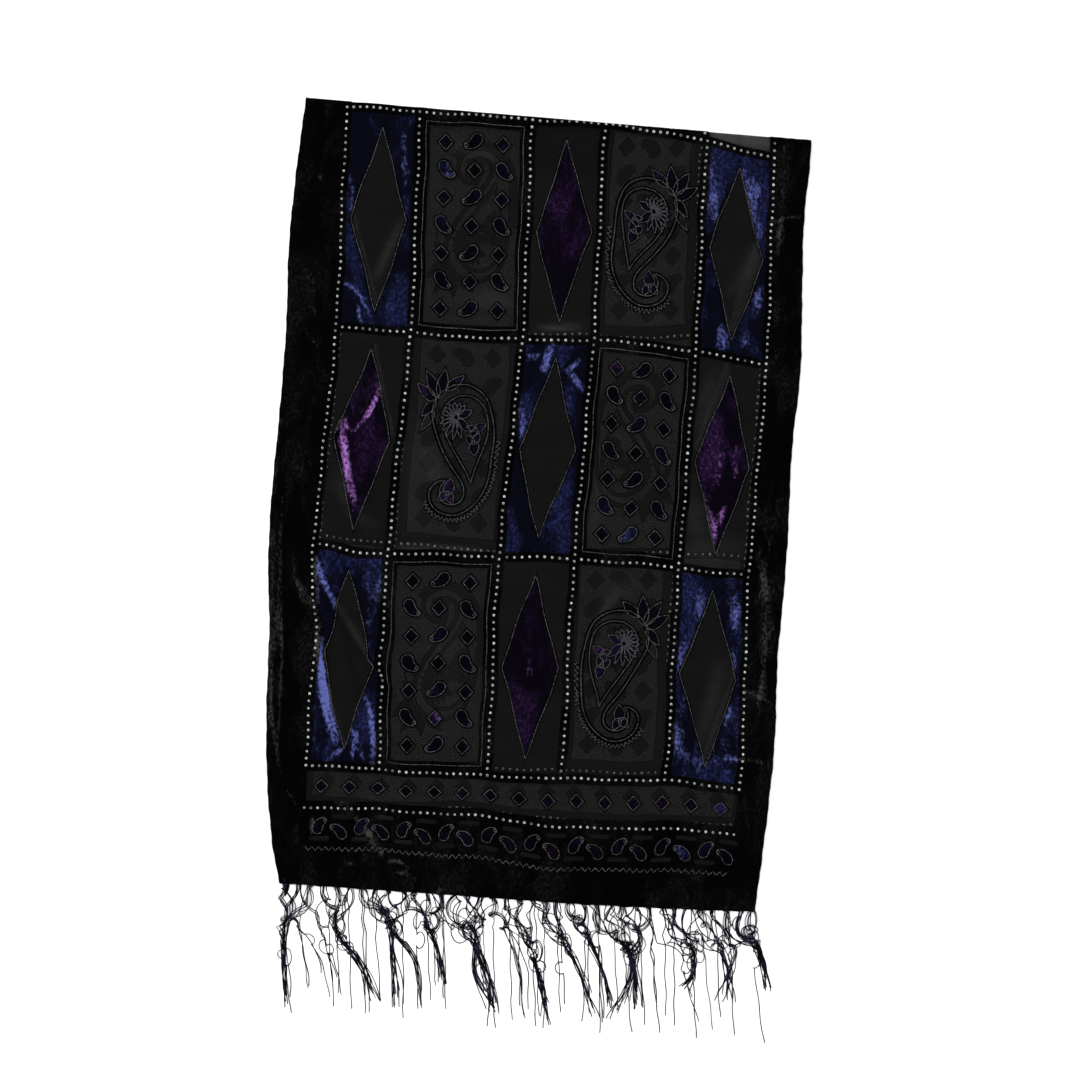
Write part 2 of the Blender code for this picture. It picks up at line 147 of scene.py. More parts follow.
# Where the pile is crushed: a painted highlight, or painted shade where the strength is negative
PILE_SHEEN_AND_SHADE = stroke_table((
    (-216, -3, -209, -21, -193, -49, 0.0030, 0.90),
    (-220, 12, -216, -20, -213, -50, 0.0022, 0.70),
    (-211, -67, -202, -120, -183, -178, 0.0042, 1.15),
    (-206, -110, -199, -150, -186, -186, 0.0030, 1.00),
    (-191, -202, -183, -194, -176, -189, 0.0022, 0.90),
    (-161, -129, -150, -164, -147, -202, 0.0032, 0.95),
    (-175, -169, -165, -177, -157, -203, 0.0020, 0.80),
    (-168, -178, -167, -190, -169, -202, 0.0018, 0.70),
    (-166, 0, -162, -35, -158, -70, 0.0050, 0.40),
    (-154, 4, -152, -20, -150, -50, 0.0030, 0.30),
    (-172, -247, -156, -262, -132, -292, 0.0050, 0.55),
    (-184, -243, -172, -240, -160, -244, 0.0030, 0.50),
    (-146, -268, -145, -273, -143, -278, 0.0030, 1.20),
    (-203, -262, -202, -268, -202, -274, 0.0026, 1.00),
    (-127, -304, -118, -297, -103, -304, 0.0022, 0.60),
    (-122, -312, -108, -309, -97, -314, 0.0022, 0.55),
    (-162, -300, -161, -306, -161, -316, 0.0016, 0.55),
    (-76, -295, -75, -303, -76, -314, 0.0016, 0.50),
    (-236, -23, -225, -39, -210, -62, 0.0035, 0.45),
    (-240, -10, -232, -34, -220, -62, 0.0020, 0.45),
    (-237, -229, -226, -240, -216, -257, 0.0014, 0.45),
    (-260, -7, -251, -153, -232, -229, 0.0018, 0.58),
    (-251, -6, -244, -120, -243, -197, 0.0018, 0.56),
    (-256, 60, -252, -40, -248, -130, 0.0022, 0.46),
    (-160, 434, -157, 408, -155, 372, 0.0026, 0.50),
    (-150, 290, -151, 266, -156, 240, 0.0130, -0.45),
    (227, 148, 234, -10, 236, -172, 0.0120, 0.19),
    (3, -50, 3, -94, 4, -140, 0.0110, 0.80),
    (-208, 274, -194, 265, -179, 240, 0.0018, 0.85),
    (-194, 254, -191, 242, -188, 234, 0.0018, 0.80),
    (-211, 385, -207, 358, -209, 341, 0.0028, 0.45),
    (-238, 249, -236, 242, -234, 236, 0.0030, 0.55),
    (-246, 227, -237, 217, -228, 208, 0.0014, 0.60),
    (-244, 285, -243, 279, -241, 269, 0.0014, 0.50),
    (-241, 389, -240, 379, -238, 369, 0.0018, 0.45),
    (-165, 177, -173, 151, -188, 127, 0.0034, 1.20),
    (-203, 142, -195, 102, -181, 42, 0.0056, 1.25),
    (-159, 146, -164, 128, -166, 108, 0.0022, 0.55),
    (-160, 176, -158, 164, -162, 152, 0.0030, 0.45),
    (-198, 140, -194, 130, -188, 128, 0.0020, 0.80),
    (3, 228, -1, 212, -4, 193, 0.0036, 0.80),
    (-23, 209, -17, 214, -10, 216, 0.0016, 0.75),
    (33, 217, 26, 208, 17, 203, 0.0018, 0.90),
    (17, 203, 27, 196, 37, 184, 0.0030, 0.85),
    (-23, 172, -23, 152, -19, 132, 0.0034, 0.80),
    (226, 26, 234, -10, 237, -44, 0.0060, 0.40),
    (221, 440, 222, 385, 220, 330, 0.0022, 0.45),
    (218, 366, 220, 352, 218, 335, 0.0060, 0.28),
    (222, 292, 221, 278, 224, 262, 0.0060, 0.28),
    (154, 394, 154, 380, 157, 360, 0.0062, 0.62),
    (148, 424, 148, 412, 149, 398, 0.0035, 0.45),
    (182, 418, 190, 380, 205, 341, 0.0062, 0.60),
    (197, 403, 198, 394, 199, 384, 0.0036, 0.60),
    (205, 300, 205, 288, 204, 272, 0.0036, 0.75),
    (169, 264, 171, 250, 174, 236, 0.0050, 0.62),
    (194, 258, 196, 245, 198, 234, 0.0044, 0.45),
    (150, 340, 156, 297, 164, 262, 0.0140, -0.50),
    (175, 153, 178, 120, 177, 86, 0.0030, 0.55),
    (192, 150, 195, 126, 194, 93, 0.0044, 0.50),
    (163, 132, 164, 122, 166, 108, 0.0040, 0.42),
    (163, 92, 174, 62, 179, 35, 0.0060, 0.62),
    (189, 86, 184, 70, 180, 52, 0.0040, 0.58),
    (172, 176, 170, 169, 168, 160, 0.0036, 0.32),
    (183, 210, 183, 190, 182, 172, 0.0120, -0.60),
    (170, -10, 169, -20, 167, -33, 0.0042, 0.58),
    (202, -8, 203, -22, 203, -45, 0.0044, 0.50),
    (155, -56, 154, -70, 154, -88, 0.0042, 0.50),
    (204, -66, 205, -80, 206, -94, 0.0030, 0.55),
    (206, -118, 205, -128, 201, -138, 0.0044, 0.50),
    (151, -128, 154, -160, 174, -179, 0.0048, 0.55),
    (206, 362, 226, 369, 244, 373, 0.0018, 0.50),
    (190, -176, 218, -172, 246, -175, 0.0020, 0.50),
    (236, -50, 235, -90, 232, -120, 0.0022, 0.50),
    (215, -104, 232, -108, 248, -116, 0.0018, 0.45),
))

# Painted light in bands on the sheer cloth, where it lies in a fold, and painted shade where the strength is
# negative
SHEER_LIGHT_AND_SHADE = stroke_table((
    (-155, 340, -166, 313, -177, 283, 0.0042, 0.70),
    (197, 336, 190, 314, 178, 293, 0.0060, 0.45),
    (-132, 143, -127, 93, -122, 43, 0.0140, 0.16),
    (-80, -30, -76, -94, -68, -150, 0.0220, 0.13),
    (150, 85, 158, 63, 163, 45, 0.0100, 0.45),
    (-45, 425, 10, 423, 130, 415, 0.0280, -0.35),
    (-200, -52, -176, -84, -142, -126, 0.0030, -0.60),
    (-186, -58, -176, -104, -160, -140, 0.0030, -0.50),
    (-10, 243, 10, 245, 29, 247, 0.0032, 1.10),
    (-84, 266, -60, 268, -36, 268, 0.0080, 0.45),
    (-135, 15, -95, 16, -55, 16, 0.0032, 1.00),
    (-116, 109, -110, 98, -102, 85, 0.0080, 0.50),
    (152, 446, 178, 444, 204, 441, 0.0075, 2.60),
    (-197, -40, -173, -75, -142, -117, 0.0034, 0.55),
    (69, 107, 61, 76, 54, 35, 0.0060, 0.35),
    (168, 212, 160, 187, 156, 153, 0.0060, 0.40),
    (9, -38, 6, -68, -5, -119, 0.0070, 0.40),
    (95, -7, 80, -23, 70, -50, 0.0070, 0.45),
    (83, 346, 93, 309, 104, 261, 0.0070, 0.35),
    (-111, 425, -93, 416, -63, 416, 0.0060, 0.35),
    (-200, 88, -192, 58, -164, 34, 0.0060, 0.35),
    (192, -85, 187, -118, 180, -154, 0.0075, 0.50),
    (150, 30, 170, 33, 200, 35, 0.0110, 0.38),
))


def smooth_step(start, end, value):
    """0 before start, 1 after end, with a soft ramp between them."""
    share = np.clip((value - start) / (end - start), 0.0, 1.0)
    return share * share * (3.0 - 2.0 * share)


def cubic(share, start, end, start_slope, end_slope):
    """The smooth way between two values with given slopes, at a share of the way."""
    two = share * share
    three = two * share
    return (
        (2 * three - 3 * two + 1) * start
        + (three - 2 * two + share) * start_slope
        + (3 * two - 2 * three) * end
        + (three - two) * end_slope
    )


def section_value(column, from_fold):
    """A column of SECTIONS read on a smooth curve through its rows."""
    rows = np.array([row.from_fold for row in SECTIONS])
    values = np.array([getattr(row, column) for row in SECTIONS])
    slopes = np.empty_like(values)
    slopes[1:-1] = (values[2:] - values[:-2]) / (rows[2:] - rows[:-2])
    slopes[0] = (values[1] - values[0]) / (rows[1] - rows[0])
    slopes[-1] = (values[-1] - values[-2]) / (rows[-1] - rows[-2])
    place = np.clip(np.asarray(from_fold, float), rows[0], rows[-1])
    after = np.clip(np.searchsorted(rows, place), 1, len(rows) - 1)
    before = after - 1
    span = rows[after] - rows[before]
    share = (place - rows[before]) / span
    return cubic(share, values[before], values[after], span * slopes[before], span * slopes[after])


def fold_y(x):
    return FOLD_Y + FOLD_SLOPE * x


def drop_at(across, from_fold):
    """How far a row bends down to the right."""
    beyond = np.maximum(0.0, across - SKEW_START) / (PATTERN_HALF_WIDTH - SKEW_START)
    return section_value("drop", from_fold) * np.minimum(1.2, beyond) ** 1.5


def plan_x(across, from_fold):
    """Side place of a point of the flat cloth once it is laid out."""
    left_edge = section_value("left_edge", from_fold)
    left_line = section_value("left_line", from_fold)
    right_line = section_value("right_line", from_fold)
    right_edge = section_value("right_edge", from_fold)
    left_share = -(across + PATTERN_HALF_WIDTH) / LEFT_BORDER
    right_share = (across - PATTERN_HALF_WIDTH) / RIGHT_BORDER
    share = (across + PATTERN_HALF_WIDTH) / (PATTERN_HALF_WIDTH * 2)
    inside = left_line + (right_line - left_line) * share
    left = left_line + (left_edge - left_line) * left_share
    right = right_line + (right_edge - right_line) * right_share
    return np.where(left_share > 0, left, np.where(right_share > 0, right, inside))


def curve_points(start, middle, end):
    """Points on the smooth curve through three points."""
    control = 2.0 * middle - 0.5 * (start + end)
    t = np.linspace(0, 1, CURVE_SAMPLES + 1)[:, None]
    return (1 - t) ** 2 * start + 2 * t * (1 - t) * control + t * t * end


def stroke_sum(strokes, x, y, taper_floor):
    """The sum of soft strokes at places of the plan, weaker towards their ends."""
    place = np.stack([x, y], -1)
    found = np.zeros(len(place))
    for start, middle, end, width, strength in strokes:
        points = curve_points(start, middle, end)
        low = points.min(0) - 3 * width
        high = points.max(0) + 3 * width
        near = np.nonzero(np.all((place > low) & (place < high), axis=1))[0]
        if not len(near):
            continue
        nearest = np.full(len(near), 1.0)
        along = np.zeros(len(near))
        for i in range(CURVE_SAMPLES):
            step = points[i + 1] - points[i]
            share = np.clip((place[near] - points[i]) @ step / (step @ step), 0, 1)
            distance = np.linalg.norm(points[i] + share[:, None] * step - place[near], axis=1)
            closer = distance < nearest
            nearest = np.where(closer, distance, nearest)
            along = np.where(closer, (i + share) / CURVE_SAMPLES, along)
        taper = taper_floor + (1 - taper_floor) * np.sin(math.pi * along)
        found[near] += strength * taper * np.exp(-((nearest / width) ** 2))
    return found


def settle(x, y):
    """The slight unevenness that any laid cloth has, never below the level."""
    across = np.sin(x / SETTLE_ACROSS + SETTLE_BEND * np.sin(y / SETTLE_BEND_LENGTH))
    return SETTLE_HEIGHT * (1.0 + across * np.sin(y / SETTLE_ALONG + x / SETTLE_SKEW))


def edge_lift(across, from_fold):
    """The front half rises a little to pass over the hem of the back half."""
    left = across + PATTERN_HALF_WIDTH + LEFT_BORDER
    right = PATTERN_HALF_WIDTH + RIGHT_BORDER - across
    nearest = np.minimum(np.minimum(left, right), FOLD_TO_HEM - from_fold)
    return EDGE_LIFT * (1.0 - smooth_step(EDGE_LIFT_WIDTH * 0.6, EDGE_LIFT_WIDTH, nearest))


def front_height(across, from_fold, x, y):
    """Height of the middle of the ground cloth over the front half."""
    bend_top = BEND_RADIUS * 2 - BEND_MIDDLE
    into_bend = 1.0 - smooth_step(0.0, BEND_RISE_LENGTH, fold_y(x) - BEND_RADIUS - y)
    free = edge_lift(across, from_fold) + settle(x, y) + stroke_sum(CREASES, x, y, CREASE_TAPER)
    return FRONT_MIDDLE + (bend_top - FRONT_MIDDLE) * into_bend + free * (1.0 - into_bend)


def bend_of(across):
    """Where the bend starts: its centre's y and the place from the fold that lies on its top."""
    centre_y = fold_y(plan_x(across, 0.0)) - BEND_RADIUS
    top = (FIRST_LINE_Y - drop_at(across, 0.0) - centre_y) / TAKE_UP
    return centre_y, top


BEND_TURN = BEND_RADIUS - BEND_MIDDLE
BEND_LENGTH = math.pi * BEND_TURN


def seam_from_fold(across):
    """Where the front half's pieces end, just under the fold."""
    _, top = bend_of(across)
    return top - (BEND_LENGTH + UNDER_TAIL) / TAKE_UP


def seam_place(across):
    """The same seam on the flat cloth, in mm."""
    return -seam_from_fold(across / 1000) * 1000


def lay(flat, lift):
    """Points of the flat cloth, in mm, laid out in metres; lift is height on its right side."""
    across = flat[:, 0] / 1000
    from_fold = -flat[:, 1] / 1000
    lift = np.broadcast_to(np.asarray(lift, float), across.shape)
    centre_y, top = bend_of(across)
    along = (top - from_fold) * TAKE_UP

    x = plan_x(across, from_fold)
    y = FIRST_LINE_Y - from_fold * TAKE_UP - drop_at(across, from_fold)
    z = front_height(across, from_fold, x, y) + lift

    angle = math.pi / 2 - np.clip(along, 0, BEND_LENGTH) / BEND_TURN
    fold_x = plan_x(across, 0.0)
    in_bend = along > 0
    x = np.where(in_bend, fold_x, x)
    y = np.where(in_bend, centre_y + (BEND_TURN + lift) * np.cos(angle), y)
    z = np.where(in_bend, BEND_RADIUS + (BEND_TURN + lift) * np.sin(angle), z)

    spare = along - BEND_LENGTH
    under = spare > 0
    width = LEFT_BORDER + RIGHT_BORDER + 2 * PATTERN_HALF_WIDTH
    place = (across + PATTERN_HALF_WIDTH + LEFT_BORDER) / width
    hem_y = BACK_HEM_LEFT + (BACK_HEM_RIGHT - BACK_HEM_LEFT) * place
    hem_y = hem_y - BACK_CORNER_DROP * (1.0 - smooth_step(0.0, BACK_CORNER_WIDTH, place * width))
    share = spare / ((top + FOLD_TO_HEM) * TAKE_UP - BEND_LENGTH)
    back_y = centre_y + (hem_y - centre_y) * share
    level = np.clip(FIRST_LINE_Y - back_y, 0, FOLD_TO_HEM)
    left = section_value("left_edge", level)
    right = section_value("right_edge", level)
    inset = BACK_INSET * smooth_step(0.0, BACK_INSET_REACH, spare)
    narrow = (right - left - 2 * inset) / (right - left)
    middle = (left + right) / 2
    back_x = middle + (plan_x(across, level) - middle) * narrow
    x = np.where(under, back_x, x)
    y = np.where(under, back_y, y)
    z = np.where(under, BACK_MIDDLE - lift, z)
    return np.stack([x, y, z], -1)


def outward(flat):
    """The cloth's right-side normal at points of the flat cloth."""
    reach = 0.6
    right = lay(flat + (reach, 0), 0.0) - lay(flat - (reach, 0), 0.0)
    up = lay(flat + (0, reach), 0.0) - lay(flat - (0, reach), 0.0)
    normal = np.cross(right, up)
    return normal / np.linalg.norm(normal, axis=1)[:, None]


# The flat pattern, in millimetres: x to the right of its middle, y up from the fold
HEM_PLACE = FOLD_TO_HEM * 1000
LEFT_EDGE = -266.5
RIGHT_EDGE = 256.5
ROW_LENGTH = 219.0
ROWS_EACH_WAY = 3
BAND_END = 702.0
ZIGZAG = 744.0
GRID = (-216.5, -142.5, -31.5, 41.5, 144.5, 216.5)
GRID_HALF_WIDTH = 4.8
BEAD_PITCH = 7.0
STEP = 4.0
LINE_STEP = 2.4

SHEER, BLACK, BLUE, VIOLET = range(4)
# The kinds of cells in every other row, from left to right, and in those between
ROW_A = ("blue", "frame", "violet", "paisley", "blue")
ROW_B = ("violet", "paisley", "blue", "frame", "violet")

LEAF_POINTS = 9
# Every silver line lies so far outside its motif, and a corner moves at most 1 / MITRE_LEAST as far
LINE_OUT = 0.55
MITRE_LEAST = 0.3
# Small motifs lie dark in painted shade, but for these of every so many, which get a painted sheen
SMALL_GLOW = -1.0
BRIGHT_GLOW = 0.13
MOTIF_CYCLE = 37
BRIGHT_MOTIFS = (11, 30)


def even_steps(points, step, closed):
    """The same path with a point at least every step."""
    points = np.asarray(points, float)
    ends = np.roll(points, -1, axis=0) if closed else points[1:]
    found = []
    for start, end in zip(points, ends):
        count = max(1, math.ceil(np.hypot(*(end - start)) / step))
        found += [start + (end - start) * i / count for i in range(count)]
    if not closed:
        found.append(points[-1])
    return np.array(found)


def rectangle(left, bottom, right, top):
    return np.array([(left, bottom), (right, bottom), (right, top), (left, top)])


def circle(radius):
    around = np.radians(np.arange(0, 360, 45))
    return radius * np.stack([np.cos(around), np.sin(around)], 1)


def diamond(middle, width, height):
    x, y = middle
    return np.array([(x, y - height / 2), (x + width / 2, y), (x, y + height / 2), (x - width / 2, y)])


def outset(loop, distance):
    """A closed counter-clockwise loop moved outwards by distance, with mitred corners."""
    back = loop - np.roll(loop, 1, axis=0)
    ahead = np.roll(loop, -1, axis=0) - loop
    back /= np.linalg.norm(back, axis=1)[:, None]
    ahead /= np.linalg.norm(ahead, axis=1)[:, None]
    out_back = np.stack([back[:, 1], -back[:, 0]], 1)
    out_ahead = np.stack([ahead[:, 1], -ahead[:, 0]], 1)
    miter = out_back + out_ahead
    length = np.einsum("ij,ij->i", miter, out_back)
    return loop + distance * miter / np.maximum(length, MITRE_LEAST)[:, None]


def bent_drop(length, width, widest, heading, tip, count, tail_end=1.0):
    """A drop on a bent spine. Its head is at the origin; heading gives degrees along it."""
    share = np.linspace(0, 1, count)
    way = np.radians(np.array([heading(t) for t in share]))
    steps = np.stack([np.cos(way), np.sin(way)], 1) * length / (count - 1)
    spine = np.vstack([[0, 0], np.cumsum(steps[:-1], axis=0)])
    head = np.sqrt(np.clip(1 - (1 - share / widest) ** 2, 0, 1))
    narrow = np.clip((share - widest) / (tail_end - widest), 0, 1)
    tail = tip + (1 - tip) * np.cos(narrow * math.pi / 2) ** 1.4
    tail *= np.clip((1.0 - share) * 14, 0, 1) if tip else 1.0
    half = width / 2 * np.where(share < widest, head, tail)
    side = np.stack([-np.sin(way), np.cos(way)], 1) * half[:, None]
    loop = np.vstack([(spine - side)[::-1], (spine + side)[1:-1]])
    return spine, side, loop[::-1]


def placed(points, middle, mirror=False, turn=0.0):
    """Points turned about the origin, mirrored if asked, and moved to their middle."""
    angle = math.radians(turn)
    x = points[:, 0] * math.cos(angle) - points[:, 1] * math.sin(angle)
    y = points[:, 0] * math.sin(angle) + points[:, 1] * math.cos(angle)
    if mirror:
        x = -x
    return np.stack([x + middle[0], y + middle[1]], 1)


class Design:
    """The flat pattern: painted areas in order, silver lines and bead places."""

    def __init__(self):
        self.areas = []
        self.lines = []
        self.beads = []
        self.motifs = 0

    # An area's glow is a painted sheen where it is positive and painted shade where it is negative
    def area(self, cloth, loop, glow=0.0):
        self.areas.append((cloth, even_steps(loop, STEP, True), glow))

    def line(self, points, closed=True):
        self.lines.append((even_steps(points, STEP, closed), closed))

    def outlined(self, loop, fill, outline, glow=0.0, line=LINE_OUT, inset=0.0):
        """A shape of one cloth, inset if asked, in a black outline with a silver line on it."""
        self.area(BLACK, outset(loop, outline))
        self.area(fill, outset(loop, -inset), glow)
        self.line(outset(loop, line))

    def motif(self, loop, fill, outline):
        """A small motif: its pile mostly gets painted shade, and now and then one gets a painted sheen."""
        self.motifs += 1
        bright = self.motifs % MOTIF_CYCLE in BRIGHT_MOTIFS
        self.outlined(loop, fill, outline, BRIGHT_GLOW if bright else SMALL_GLOW)


def beyond(middle, heading, distance):
    """The point so far from another, at a heading in degrees."""
    way = np.radians(heading)
    return middle + distance * np.array((math.cos(way), math.sin(way)))


def counter_clockwise(loop):
    x, y = loop[:, 0], loop[:, 1]
    area = np.sum(x * np.roll(y, -1) - np.roll(x, -1) * y)
    return loop if area > 0 else loop[::-1]


def leaf(length, width):
    """A pointed leaf from the origin along +y."""
    share = np.linspace(0, 1, LEAF_POINTS)
    half = width / 2 * np.sin(math.pi * share**0.8) ** 0.9
    y = share * length
    return np.vstack([np.stack([half, y], 1), np.stack([-half, y], 1)[-2:0:-1]])


def bean(middle, mirror, fill, design, size, turn):
    """A bent bean: a round head at its upper right and a smaller lobe that curls up at its left."""
    spine, _, loop = bent_drop(20.0 * size, 9.6 * size, 0.27, lambda t: -133.0 - 92.0 * t**1.6, 0.46, 22)
    loop = counter_clockwise(placed(loop - spine[10], middle, mirror, turn))
    design.motif(loop, fill, 2.4)
    curl = placed((spine[-3] - spine[10]) * 1.04 + circle(1.5 * size), middle, mirror, turn)
    design.line(curl)


# A bud's petals: length, width and lean
BUD = ((9.5, 5.4, 146.0), (9.5, 5.4, -146.0), (12.5, 7.4, 0.0))


def bud(design, put_loop, at, turn, size):
    """A bud of three pointed petals: one up and two that turn out below."""
    for length, width, lean in BUD:
        petal = placed(leaf(length * size, width * size), (0.0, 0.0), False, lean)
        petal = petal if lean else petal - (0.0, 2.2 * size)
        design.outlined(put_loop(petal, at, turn), VIOLET, 1.8, -0.5)


# The crown's petals: where each starts from the middle of the head, its heading and its size
CROWN = (
    (18.0, 25.5, 137.0, 21.0, 7.6),
    (28.0, 14.0, -53.0, 19.0, 7.2),
    (29.0, 2.7, -61.0, 20.0, 6.4),
    (28.0, 14.0, 38.0, 24.0, 8.6),
    (25.6, 18.0, 61.0, 27.0, 9.0),
    (24.2, 18.0, 97.0, 27.0, 9.6),
)
# The fan flower's petals, the degrees between them, and the points of the drop's back with teeth
PETALS = 12
PETAL_TURN = 21.0
TOOTHED = slice(25, 62)


def paisley(middle, mirror, design):
    """A large bent drop with a fan flower, buds, a leafy crown and a toothed edge."""

    def put(points, at=(0.0, 0.0), turn=0.0):
        points = placed(np.asarray(points, float), at, False, turn)
        return placed(points, middle, mirror)

    def put_loop(points, at=(0.0, 0.0), turn=0.0):
        return counter_clockwise(put(points, at, turn))

    def hook(t):
        return -109.0 + 272.0 * max(0.0, (t - 0.44) / 0.56) ** 1.7

    head = np.array((9.0, 60.0))
    spine, side, loop = bent_drop(183.0, 57.0, 0.165, hook, 0.155, 70, 0.70)
    spine, loop = spine + head, loop + head
    centre = spine[12]

    for x, y, heading, length, width in CROWN:
        petal = put_loop(leaf(length, width), centre + (x, y), heading - 90.0)
        design.outlined(petal, SHEER if width < 7.0 else VIOLET, 2.4, -0.45, 0.8)

    out = -side / np.maximum(np.linalg.norm(side, axis=1), 0.1)[:, None]
    edge = (spine - side + out * 3.4)[TOOTHED]
    path = even_steps(edge, 3.6, False)
    along, edge_along = np.linspace(0, 1, len(path)), np.linspace(0, 1, len(edge))
    away = np.stack([np.interp(along, edge_along, out[TOOTHED, i]) for i in (0, 1)], 1)
    reach = np.where(np.arange(len(path)) % 2, 5.0, 0.4)
    teeth = path + away * reach[:, None]
    backing = path + away * (reach * 0.55 + 3.6)[:, None]
    design.area(BLACK, put_loop(np.vstack([path - away * 2.0, backing[::-1]])))
    design.line(put(teeth), closed=False)

    design.outlined(put_loop(loop), SHEER, 3.4, line=0.9, inset=1.7)
    _, _, inner = bent_drop(88.0, 44.0, 0.26, lambda t: -111.0 + 14 * t, 0.0, 44)
    inner = put_loop(inner + (head[0] - 5.6, head[1] - 10.5))
    design.outlined(inner, SHEER, 2.6, line=0.5, inset=1.7)

    flower = centre + (5.8, -1.5)
    for number in range(PETALS):
        heading = 122.0 - PETAL_TURN * number
        length = 12.5 + 7.0 * max(0.0, math.sin(-np.radians(heading))) ** 1.5
        petal = put_loop(leaf(length, 4.4), beyond(flower, heading, 3.0), heading - 90.0)
        design.outlined(petal, BLUE, 1.6, -0.7, 0.0)
    for heading, length in ((152.0, 14.0), (222.0, 16.0)):
        sepal = put_loop(leaf(length, 7.0), beyond(flower, heading, 2.6), heading - 90.0)
        design.outlined(sepal, BLUE, 1.5, -0.6)
    design.outlined(put_loop(circle(2.2), flower), BLACK, 0.6)

    bud(design, put_loop, centre + (-15.0, -11.0), 62.0, 0.95)
    bud(design, put_loop, centre + (-14.5, -26.0), 165.0, 1.15)
    bud(design, put_loop, spine[52] * 0.5 + spine[-4] * 0.5 + (-2.0, 6.0), 8.0, 1.3)


def window_of(column, row):
    left, right = GRID[column] + GRID_HALF_WIDTH, GRID[column + 1] - GRID_HALF_WIDTH
    top, bottom = -row * ROW_LENGTH - GRID_HALF_WIDTH, -(row + 1) * ROW_LENGTH + GRID_HALF_WIDTH
    return left, bottom, right, top


def middle_of(column, row):
    return (GRID[column] + GRID[column + 1]) / 2, -(row + 0.5) * ROW_LENGTH


# Painted sheen, or painted shade where negative, all over a coloured cell of the front, by column and row
CELL_GLOW = {(4, 0): 0.03, (4, 2): 0.10, (2, 0): -0.60, (2, 2): -0.60, (4, 1): -0.20, (0, 1): -0.35}

DIAMOND_WIDTH = 52.5
DIAMOND_HEIGHT = 177.0
DIAMOND_OUTLINE = 3.3
DIAMOND_LINE = 1.5
FRAME_INSET = 7.0
FRAME_WIDTH = 3.6
MOTIF_ROWS = 7
MOTIF_ROW_PITCH = 27.5


def diamond_cell(cloth, fill):
    """Draws cells of one cloth round a large diamond of another."""

    def draw(design, column, row):
        glow = CELL_GLOW.get((column, row), 0.0)
        shape = diamond(middle_of(column, row), DIAMOND_WIDTH, DIAMOND_HEIGHT)
        design.area(cloth, rectangle(*window_of(column, row)), glow)
        design.outlined(shape, fill, DIAMOND_OUTLINE, glow, DIAMOND_LINE)

    return draw


def frame_cell(design, column, row):
    left, bottom, right, top = window_of(column, row)
    inset = FRAME_INSET - GRID_HALF_WIDTH
    design.line(rectangle(left + inset, bottom + inset + 1, right - inset, top - inset - 1))
    inset += FRAME_WIDTH
    design.area(SHEER, rectangle(left + inset, bottom + inset + 1, right - inset, top - inset - 1))
    middle = middle_of(column, row)
    pitch = (GRID[column + 1] - GRID[column] - 2 * FRAME_INSET) / 3.4
    for level in range(MOTIF_ROWS):
        for place in range(3):
            at = (middle[0] + (place - 1) * pitch, middle[1] + (3 - level) * MOTIF_ROW_PITCH)
            if (level + place) % 2 == 0:
                fill = BLUE if (3 * level + place) % 5 == 2 else VIOLET
                design.motif(diamond(at, 12.6, 13.8), fill, 2.4)
            else:
                bean(at, level % 2 == 1, BLUE, design, 1.0, 34.0 if level % 2 else 22.0)


def paisley_cell(design, column, row):
    design.area(SHEER, rectangle(*window_of(column, row)))
    x, y = middle_of(column, row)
    mirror = row % 2 == 1
    paisley((x + (2.0 if mirror else -2.0), y), mirror, design)


CELLS = {
    "blue": diamond_cell(BLUE, SHEER),
    "violet": diamond_cell(SHEER, VIOLET),
    "frame": frame_cell,
    "paisley": paisley_cell,
}


# What the end bands hold: how many motifs and how far apart, and the zigzag
BAND_DIAMONDS = 15
BAND_DIAMOND_PITCH = 28.6
BAND_BEANS = 10
BAND_BEAN_PITCH = 43.4
BAND_BEAN_SIZE = 0.95
ZIGZAG_PERIOD = 6.9
ZIGZAG_HEIGHT = 2.1


def end_bands(design, side):
    """The diamond band, the paisley band and the zigzag of one end."""
    left, right = GRID[0], GRID[-1]

    def at(from_fold):
        return -side * from_fold

    row_end = ROWS_EACH_WAY * ROW_LENGTH
    low, high = sorted((at(row_end + 5.5), at(BAND_END - 7.5)))
    design.area(SHEER, rectangle(left + 1.0, low, right - 1.0, high))
    for number in range(BAND_DIAMONDS):
        x = left + 16.0 + number * BAND_DIAMOND_PITCH
        fill = BLUE if number % 4 == 2 else VIOLET
        design.motif(diamond((x, (low + high) / 2), 12.2, 12.2), fill, 2.3)
    turn = 180.0 if side > 0 else 0.0
    for number in range(BAND_BEANS):
        x = left + 14.5 + number * BAND_BEAN_PITCH
        bean((x, at(BAND_END + 17.5)), False, BLUE, design, BAND_BEAN_SIZE, turn + 38.0)
        fill = VIOLET if number % 2 else BLUE
        bean((x + 21.0, at(BAND_END + 23.0)), True, fill, design, BAND_BEAN_SIZE, turn + 25.0)
        slot(design, (x + 24.0, at(BAND_END + 8.5)))
        slot(design, (x, at(BAND_END + 31.5)))
    count = int((right - left) / ZIGZAG_PERIOD * 2)
    x = left + 1 + np.arange(count) * ZIGZAG_PERIOD / 2
    y = at(ZIGZAG) + ZIGZAG_HEIGHT * (-1.0) ** np.arange(count)
    design.lines.append((np.stack([x, y], 1), False))


SelvedgeSheen = namedtuple("SelvedgeSheen", "from_fold width")
SELVEDGE_SHEEN = (
    SelvedgeSheen(300, 0.8),
    SelvedgeSheen(335, 2.4),
    SelvedgeSheen(375, 4.6),
    SelvedgeSheen(420, 6.8),
    SelvedgeSheen(455, 8.2),
    SelvedgeSheen(500, 7.2),
    SelvedgeSheen(560, 6.6),
    SelvedgeSheen(610, 5.4),
    SelvedgeSheen(655, 2.6),
    SelvedgeSheen(690, 0.8),
)
SELVEDGE = 0.7


